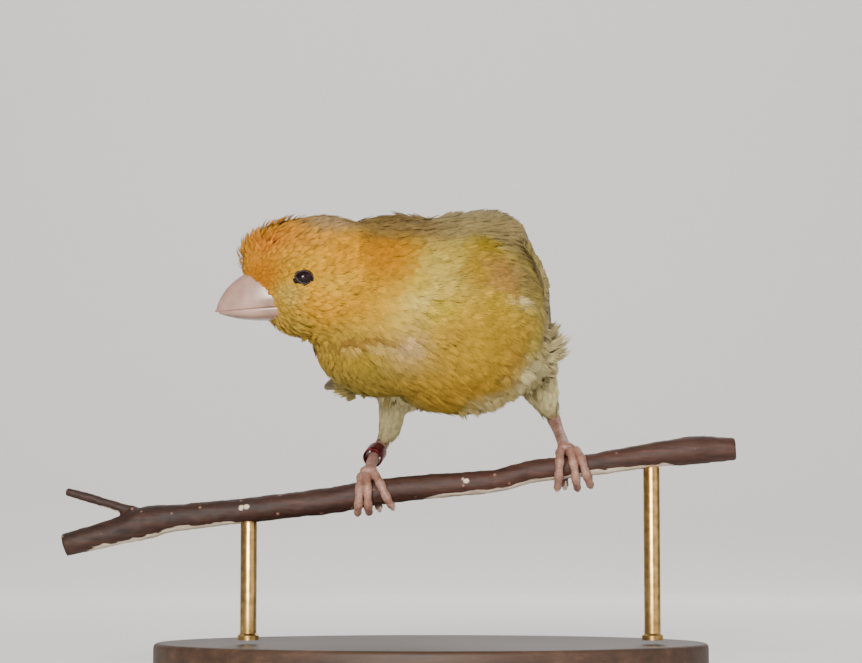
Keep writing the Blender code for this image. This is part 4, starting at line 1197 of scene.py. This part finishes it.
# %% [markdown]
# A vane's outline is narrow at the quill, full along most of its length and rounded at the tip. Its
# baking patch is a tile of its own, as a big feather carries more detail than a tuft.

# %% Blades from stations
BLADE_ALONG = np.array([0.0, 0.08, 0.2, 0.35, 0.5, 0.65, 0.78, 0.87, 0.93, 0.97, 1.0])
BLADE_SHARE = np.array([0.3, 0.55, 0.8, 0.94, 1.0, 1.0, 0.94, 0.82, 0.64, 0.42, 0.08])
BLADE_ACROSS = np.array([-1.0, -0.6, -0.2, -0.05, 0.05, 0.2, 0.6, 1.0])
BLADE_THICK = 0.12
SHAFT_RISE = 0.12
TILES = 8


def blade(stations, camber):
    """Places, flat places in millimetres and faces of one cambered vane through its stations."""
    rows = len(stations)
    columns = len(BLADE_ACROSS)
    top = np.empty((rows, columns, 3))
    flat = np.empty((rows, columns, 2))
    run = 0.0
    for k, (centre, side, normal, half) in enumerate(stations):
        if k:
            run += np.linalg.norm(centre - stations[k - 1][0]) / MM
        for c, u in enumerate(BLADE_ACROSS):
            drop = camber * half * u * u
            rise = SHAFT_RISE * MM if abs(u) < 0.1 else 0.0
            top[k, c] = centre + side * half * u + normal * (rise - drop)
            flat[k, c] = (half * u / MM, run)
    normals = np.array([station[2] for station in stations])[:, None, :]
    places = np.concatenate([top.reshape(-1, 3), (top - normals * BLADE_THICK * MM).reshape(-1, 3)])
    faces = []
    below = rows * columns
    for k in range(rows - 1):
        for c in range(columns - 1):
            a, b = k * columns + c, k * columns + c + 1
            d, e = a + columns, b + columns
            faces += [(a, b, e), (a, e, d), (below + a, below + e, below + b),
                      (below + a, below + d, below + e)]
    rim = ([(0, c) for c in range(columns)]
           + [(k, columns - 1) for k in range(1, rows)]
           + [(rows - 1, c) for c in range(columns - 2, -1, -1)]
           + [(k, 0) for k in range(rows - 2, 0, -1)])
    for (k, c), (m, d) in zip(rim, rim[1:] + rim[:1]):
        a, b = k * columns + c, m * columns + d
        faces += [(a, below + a, below + b), (a, below + b, b)]
    return places, np.tile(flat.reshape(-1, 2), (2, 1)), np.array(faces)


def feather_mesh(name, blades, tints):
    """One mesh of many blades, each with a dark middle, a pale edge and a tile on the baking map."""
    places, flats, faces, shades, tiles = [], [], [], [], []
    count = 0
    for index, ((spots, flat, sides), (middle, edge)) in enumerate(zip(blades, tints)):
        widest = np.abs(flat[:, 0]).max()
        length = flat[:, 1].max()
        rim = np.clip((np.abs(flat[:, 0]) / widest - 0.45) / 0.5, 0.0, 1.0) ** 1.5
        rim = np.maximum(rim, np.clip((flat[:, 1] / length - 0.9) / 0.1, 0.0, 1.0))[:, None]
        shades.append(srgb(middle) * (1 - rim) + srgb(edge) * rim)
        corner = np.array([index % TILES, index // TILES])
        inside = np.stack([flat[:, 0] / widest * 0.42 + 0.5, flat[:, 1] / length * 0.9 + 0.05], axis=1)
        tiles.append((corner + inside) / TILES)
        places.append(spots)
        flats.append(flat)
        faces.append(sides + count)
        count += len(spots)
    piece = mesh_from(name, np.concatenate(places), np.concatenate(faces), np.concatenate(shades),
                      np.concatenate(tiles))
    layer = piece.data.uv_layers.new(name="vane")
    joined = np.concatenate(faces)
    layer.data.foreach_set("uv", np.concatenate(flats)[joined.ravel()].astype(np.float32).ravel())
    edit(piece, (bpy.ops.mesh.normals_make_consistent, {"inside": False}))
    return piece


# %% [markdown]
# The tiers are listed from the lowest to the one on top. Each vane's lower edge is raised over its
# neighbour, as in a real folded wing, where the inner feathers cover the outer ones.

# %% Wings
WING_TIERS = [
    # name, vanes, root (p, q), step, tip (p, q), step, width, height, middle and edge colours
    ("primaries", 9, (0.30, 0.06), (0.0, 0.05), (1.00, 0.16), (-0.028, 0.085), 4.6, 0.1,
     "6e6250", "b5a880"),
    ("secondaries", 7, (0.22, 0.28), (0.0, 0.085), (0.66, 0.28), (0.012, 0.085), 5.0, 0.3,
     "726650", "b8ab82"),
    ("tertials", 3, (0.24, 0.80), (0.0, 0.07), (0.56, 0.80), (0.09, 0.06), 6.0, 0.5,
     "7a6c54", "bdb086"),
    ("primary coverts", 6, (0.22, 0.05), (0.0, 0.045), (0.50, 0.05), (-0.015, 0.055), 3.4, 0.45,
     "766a52", "b0a47c"),
    ("greater coverts", 9, (0.12, 0.12), (0.0, 0.095), (0.42, 0.10), (0.0, 0.1), 4.2, 0.6,
     "7f7258", "bfb288"),
    ("median coverts", 9, (0.05, 0.1), (0.0, 0.1), (0.27, 0.08), (0.0, 0.105), 4.0, 0.75,
     "877960", "bbae84"),
    ("lesser coverts", 10, (-0.01, 0.08), (0.0, 0.094), (0.16, 0.06), (0.0, 0.1), 3.8, 0.85,
     "8f8160", "b3a674"),
]
SHINGLE = 0.09
# The vanes dip under the body's coat over the first part of the sheet
FRONT_SINK, FRONT_SPAN = 1.5, 0.16
ROOT_SPAN, TIP_DIP, VANE_CAMBER = 0.15, 0.2, 0.1


def wing_blade(grid, normals, root, tip, width, height, side):
    """One vane laid on the wing's sheet from root to tip."""
    stations = []
    for t, share in zip(BLADE_ALONG, BLADE_SHARE):
        p = root[0] + (tip[0] - root[0]) * t
        q = root[1] + (tip[1] - root[1]) * t
        normal = unit(read_grid(normals, p, q))
        ahead = read_grid(grid, p + 0.03, q) - read_grid(grid, p - 0.03, q)
        front = FRONT_SINK * max(0.0, 1.0 - p / FRONT_SPAN)
        rise = height * min(t / ROOT_SPAN, 1.0) - front - TIP_DIP * t * t
        centre = read_grid(grid, p, q) + normal * rise * MM
        across = unit(np.cross(normal, ahead)) * side
        across = unit(across - normal * SHINGLE)
        stations.append((centre, across, normal, width * share / 2 * MM))
    return blade(stations, VANE_CAMBER)


# The body's own feathers cover the front and the lower edge of a folded wing
FRINGES = [
    # name, feathers, range of p, range of q, upward turn, sink and top over the sheet at three p
    ("shoulder", 1200, (-0.06, 0.26), (0.0, 0.96), 0.0, (2.2, 1.5, 0.3), (-0.4, 0.4, 0.9)),
    ("flank", 420, (0.0, 0.55), (-0.2, 0.04), 0.25, (2.2, 1.6, 1.3), (0.6, 1.0, 1.0)),
]
triangle_tree = KDTree(len(centres))
for index, centre in enumerate(centres):
    triangle_tree.insert(centre, index)
triangle_tree.balance()


def sheet_roots(grid, normals, spots, sink, upward):
    """Roots under the folded wing's surface at rows of (p, q), with their lies.

    Rows with p or q below 0 lie beyond its edges. The lies turn upward by a share."""
    places, ups, lies = [], [], []
    for p, q in spots:
        low, start = min(max(q, 0.0), 0.9), max(p, 0.0)
        across = (read_grid(grid, p, low + 0.1) - read_grid(grid, p, low)) * 10.0
        ahead = read_grid(grid, start + 0.08, q) - read_grid(grid, start, q)
        up = unit(read_grid(normals, p, q))
        along = unit(unit(ahead) + unit(across) * upward)
        places.append(read_grid(grid, p, q) + across * min(q, 0.0) + ahead * min(p, 0.0) / 0.08)
        ups.append(up)
        lies.append(along - up * along.dot(up))
    places, ups, lies = np.array(places), np.array(ups), unit(np.array(lies))
    places = places - ups * sink[:, None] - lies * (1.5 * MM)
    nearest = [triangle_tree.find(place)[1] for place in places]
    return (places, ups, unwrap[corner_loops[nearest]].mean(axis=1)), lies


for side_name, side in (("left", 1.0), ("right", -1.0)):
    grid, normals = wing_sheet(side)
    rng = np.random.default_rng(11 if side > 0 else 12)
    blades, tints = [], []
    for _, count, root, root_step, tip, tip_step, width, height, middle, edge in WING_TIERS:
        for k in range(count):
            start = (root[0] + root_step[0] * k, root[1] + root_step[1] * k)
            end = (tip[0] + tip_step[0] * k + rng.normal(0.0, 0.006),
                   tip[1] + tip_step[1] * k + rng.normal(0.0, 0.006))
            blades.append(wing_blade(grid, normals, start, end, width, height, side))
            tints.append((middle, edge))
    wing = feather_mesh("wing", blades, tints)
    finish_piece(wing, "wing_%s_vanes" % side_name, VANE, "flight_feathers", "wing_" + side_name)
    for name, count, (p_low, p_high), (q_low, q_high), upward, sinks, tops in FRINGES:
        spots = np.stack([rng.uniform(p_low, p_high, count), rng.uniform(q_low, q_high, count)],
                         axis=1)
        sink, top = (np.interp(spots[:, 0], [0.0, 0.1, 0.2], heights) * MM
                     for heights in (sinks, tops))
        roots, lies = sheet_roots(grid, normals, spots, sink, upward)
        fringe = grow_feathers(name, roots, lies, rng.uniform(4.0, 5.2, count) * MM,
                               rng.uniform(2.0, 2.6, count) * MM, BARBS, sink + top, rng,
                               painted(roots[0]))
        finish_piece(fringe, "%s_%s" % (name, side_name), DOWN, "body_plumage")

# %% [markdown]
# Scapulars grow from the back beside the wing's root and hide the seam over the tertials.

# %% Scapulars
SCAPULARS, SCAPULAR_LENGTH, SCAPULAR_WIDTH, SCAPULAR_RISE = 480, 6.0, 2.6, 1.4
SCAPULAR_TURN = 0.3
# The seam runs along the upper edge of the wing's sheet, over this part of p
SEAM_START, SEAM_END, SEAM_WIDTH = 0.03, 0.5, 3.0
for side_name, side in (("left", 1.0), ("right", -1.0)):
    rng = np.random.default_rng(61 if side > 0 else 62)
    grid, normals = wing_sheet(side)
    seam = np.array([read_grid(grid, p, 0.99) for p in np.linspace(SEAM_START, SEAM_END, 28)])
    away = np.linalg.norm(centres[:, None, :] - seam[None], axis=2).min(axis=1) / (SEAM_WIDTH * MM)
    above = skin_normals[corner_verts[:, 0], 2] > 0.1
    roots = scatter(SCAPULARS, np.exp(-away ** 2) * above, rng)
    outward = np.array(BODY.to_3x3() @ Vector((0.0, side, 0.0)))
    lies = np.tile(unit(BACKWARD + outward * SCAPULAR_TURN), (SCAPULARS, 1))
    lies = unit(lies - roots[1] * np.sum(lies * roots[1], axis=1, keepdims=True))
    size = rng.uniform(0.85, 1.15, SCAPULARS) * MM
    scapular = grow_feathers("scapular", roots, lies, size * SCAPULAR_LENGTH, size * SCAPULAR_WIDTH,
                             BARBS, size * SCAPULAR_RISE, rng, painted(roots[0]))
    finish_piece(scapular, "scapulars_" + side_name, DOWN, "body_plumage")

# %% [markdown]
# ## Tail
# Twelve straight feathers lie over each other, the middle pair on top, and short coverts hide their
# roots above and below.

# %% Tail
TAIL_PAIRS, TAIL_SPREAD, TAIL_WIDTH = 6, (0.8, 1.42), 4.4
TAIL_NOTCH, TAIL_STACK, TAIL_OFFSET, TAIL_CAMBER = 0.06, 0.3, 0.12, 0.08
COVERT_STEP, COVERT_WIDTH = 1.25, 4.2
# name, feathers, start and end along the tail, height over its root and its tip
TAIL_COVERTS = [("upper", 9, 8.0, 30.0, 2.5, 2.3), ("under", 9, 8.0, 34.0, -2.2, -1.2)]


def tail_blade(start, end, width):
    """One straight vane between two places in the tail's frame, in millimetres."""
    axes = TAIL.to_3x3()
    across, normal = np.array(axes @ Vector((0, 1, 0))), np.array(axes @ Vector((0, 0, 1)))
    stations = []
    for t, share in zip(BLADE_ALONG, BLADE_SHARE):
        centre = np.array(TAIL @ (Vector(start).lerp(Vector(end), t) * MM))
        stations.append((centre, across, normal, width * share / 2 * MM))
    return blade(stations, TAIL_CAMBER)


tail_length = (TAIL_TIP - TAIL_ROOT).length / MM
blades, tints = [], []
for k in range(TAIL_PAIRS):
    reach = tail_length * (1.0 - TAIL_NOTCH + TAIL_NOTCH * k / (TAIL_PAIRS - 1))
    for side in (1.0, -1.0):
        out = TAIL_SPREAD[0] + TAIL_SPREAD[1] * k
        height = TAIL_STACK * (TAIL_PAIRS - 1 - k) - (TAIL_OFFSET if side < 0.0 else 0.0)
        blades.append(tail_blade((6.0, out * 0.4 * side, height), (reach, out * side, height),
                                 TAIL_WIDTH))
        tints.append(("6c604c", "b2a57c"))
for _, count, start, end, root_height, tip_height in TAIL_COVERTS:
    for k in range(count):
        out = (k - (count - 1) / 2) * COVERT_STEP
        sink = 0.18 * abs(out) * math.copysign(1.0, tip_height) + 0.05 * k
        blades.append(tail_blade((start, out * 0.8, root_height - sink),
                                 (end - 0.9 * abs(out), out, tip_height - sink),
                                 COVERT_WIDTH))
        tints.append(("8f8254", "b5a870"))
print("tail feathers and coverts", len(blades))
tail = feather_mesh("tail", blades, tints)
finish_piece(tail, "tail_vanes", VANE, "flight_feathers", "tail")

# %% [markdown]
# ## Stand
# A museum stand is turned and moulded wood with thin brass rods. The base is an oval disc with a
# stepped edge, stained dark. The rods end in small collars where they enter the wood.

# %% Base and rods
BASE_SIZE = (100.0, 72.0, 6.0)
BASE_LIP, BASE_STEP, BASE_ROUND = 4.0, 0.5, 1.0
wood_material, tree, shader, place = new_material("dark stained beech", Roughness=0.55,
                                                  Specular_IOR_Level=0.3)
long_way = add_node(tree, "ShaderNodeMapping", {"Vector": place, "Scale": (0.12, 1.0, 1.0)})
rings = add_node(tree, "ShaderNodeTexNoise", {"Vector": long_way.outputs["Vector"],
                                              "Scale": 1 / (2.4 * MM), "Detail": 6.0,
                                              "Roughness": 0.7})
stain = add_node(tree, "ShaderNodeValToRGB", {"Fac": rings.outputs["Fac"]},
                 stops=[(0.3, "2a1c14"), (0.55, "3d2a1e"), (0.75, "553c2b")])
tree.links.new(stain.outputs["Color"], shader.inputs["Base Color"])
bump = add_node(tree, "ShaderNodeBump", {"Height": rings.outputs["Fac"], "Strength": 0.15,
                                         "Distance": 0.1 * MM})
tree.links.new(bump.outputs["Normal"], shader.inputs["Normal"])
pick()
bpy.ops.mesh.primitive_cylinder_add(vertices=128, radius=0.5, depth=BASE_SIZE[2] * MM,
                                    location=(0.0, 0.0, BASE_SIZE[2] * MM / 2))
base = bpy.context.object
base.scale = (BASE_SIZE[0] * MM, BASE_SIZE[1] * MM, 1.0)
pick(base)
bpy.ops.object.transform_apply(location=True, rotation=True, scale=True)
choose(base, lambda spot: spot.z > 0.9 * BASE_SIZE[2] * MM)
bpy.ops.mesh.inset(thickness=BASE_LIP * MM)
bpy.ops.transform.translate(value=(0.0, 0.0, -BASE_STEP * MM))
bpy.ops.object.mode_set(mode="OBJECT")
modify(base, "BEVEL", width=BASE_ROUND * MM, segments=4, limit_method="ANGLE",
       angle_limit=math.radians(40))
pick(base)
bpy.ops.object.shade_smooth_by_angle(angle=math.radians(30))
finish_piece(base, "stand_base_wood", wood_material, "stand_wood", "stand_base")

brass_material, tree, shader, place = new_material("drawn brass rod", Metallic=1.0, Roughness=0.28)
drawn = add_node(tree, "ShaderNodeTexNoise", {"Vector": place, "Scale": 1 / (1.4 * MM),
                                                "Detail": 3.0})
brass = add_node(tree, "ShaderNodeValToRGB", {"Fac": drawn.outputs["Fac"]},
                 stops=[(0.3, "8f7040"), (0.7, "c5a164")])
tree.links.new(brass.outputs["Color"], shader.inputs["Base Color"])
COLLAR_RADIUS, ROD_RADIUS, ROD_END = 1.95, 1.5, 1.35
COLLAR_HEIGHT, COLLAR_SLOPE, END_ROUND = 0.8 * MM, 0.4 * MM, 0.4 * MM
for name in ("stand_rod_left", "stand_rod_right"):
    low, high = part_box(name)
    x = (low.x + high.x) / 2
    stations = []
    for z, radius in ((low.z, COLLAR_RADIUS), (low.z + COLLAR_HEIGHT, COLLAR_RADIUS),
                      (low.z + COLLAR_HEIGHT + COLLAR_SLOPE, ROD_RADIUS),
                      (high.z - END_ROUND, ROD_RADIUS), (high.z, ROD_END)):
        up = np.array([0.0, radius * MM, 0.0])
        stations.append((np.array([x, 0.0, z]), np.array([radius * MM, 0.0, 0.0]), up, -up))
    rod = tube_through(name, stations, 40)
    pick(rod)
    bpy.ops.object.shade_smooth_by_angle(angle=math.radians(35))
    finish_piece(rod, name + "_brass", brass_material, "stand_brass", name)

# %% [markdown]
# ## Floor, light and camera
# A pale seamless sweep, one soft light near the viewer, weaker ones from the right and from behind,
# one on the wall, and a bright even world. The camera looks up a little from just above the
# floor, as the viewer did.

# %% Stage
floor_material, tree, shader, place = new_material("matt paper sweep", Roughness=0.9)
fibre = add_node(tree, "ShaderNodeTexNoise", {"Vector": place, "Scale": 1 / (3.3 * MM)})
paper = add_node(tree, "ShaderNodeValToRGB", {"Fac": fibre.outputs["Fac"]},
                 stops=[(0.0, "eceae6"), (1.0, "f0eeea")])
tree.links.new(paper.outputs["Color"], shader.inputs["Base Color"])
# In metres: width and depth, height of the wall, and how far the bend reaches
SWEEP_SIZE, SWEEP_WALL, SWEEP_BEND = (8.0, 3.0), 2.5, 0.8
pick()
bpy.ops.mesh.primitive_plane_add(size=1.0)
sweep = bpy.context.object
sweep.name = "sweep"
sweep.scale = (*SWEEP_SIZE, 1.0)
pick(sweep)
bpy.ops.object.transform_apply(location=False, rotation=False, scale=True)
choose(sweep, lambda spot: spot.y > 0.0)
bpy.ops.mesh.extrude_region_move(TRANSFORM_OT_translate={"value": (0.0, 0.0, SWEEP_WALL)})
bpy.ops.object.mode_set(mode="OBJECT")
modify(sweep, "BEVEL", width=SWEEP_BEND, segments=24, limit_method="ANGLE")
pick(sweep)
bpy.ops.object.shade_smooth()
sweep.data.materials.append(floor_material)


def soft_light(name, place, target, size, power, tint):
    """A square area light that looks at a target, in metres and watts."""
    pick()
    bpy.ops.object.light_add(type="AREA", location=place)
    lamp = bpy.context.object
    lamp.name = name
    lamp.data.size = size
    lamp.data.energy = power
    lamp.data.color = tint
    lamp.rotation_euler = (Vector(target) - Vector(place)).to_track_quat("-Z", "Y").to_euler()


TARGET = at(0.0, 0.0, 28.0)
soft_light("key", (-0.08, -0.62, 0.2), TARGET, 0.22, 8.5, (1.0, 0.97, 0.92))
soft_light("fill", (0.5, -0.35, 0.25), TARGET, 0.6, 1.5, (1.0, 0.99, 0.97))
soft_light("back", (0.1, 0.6, 0.5), TARGET, 0.5, 2.0, (0.97, 0.98, 1.0))
soft_light("backdrop", (0.0, 0.7, 1.1), (0.0, 1.6, 0.3), 1.2, 9.0, (1.0, 1.0, 1.0))
world = bpy.data.worlds.new("studio")
world.use_nodes = True
world.node_tree.nodes["Background"].inputs["Color"].default_value = colour("e8e8e6")
world.node_tree.nodes["Background"].inputs["Strength"].default_value = 0.5
bpy.context.scene.world = world

CAMERA_PLACE = (0.0, -0.450, 0.0244)
CAMERA_PITCH = 4.8
LENS, SENSOR, NEAR = 103.4, 36.0, 0.01
pick()
bpy.ops.object.camera_add(location=CAMERA_PLACE,
                          rotation=(math.radians(90.0 + CAMERA_PITCH), 0.0, 0.0))
camera = bpy.context.object
camera.data.lens = LENS
camera.data.sensor_width = SENSOR
camera.data.clip_start = NEAR
bpy.context.scene.camera = camera
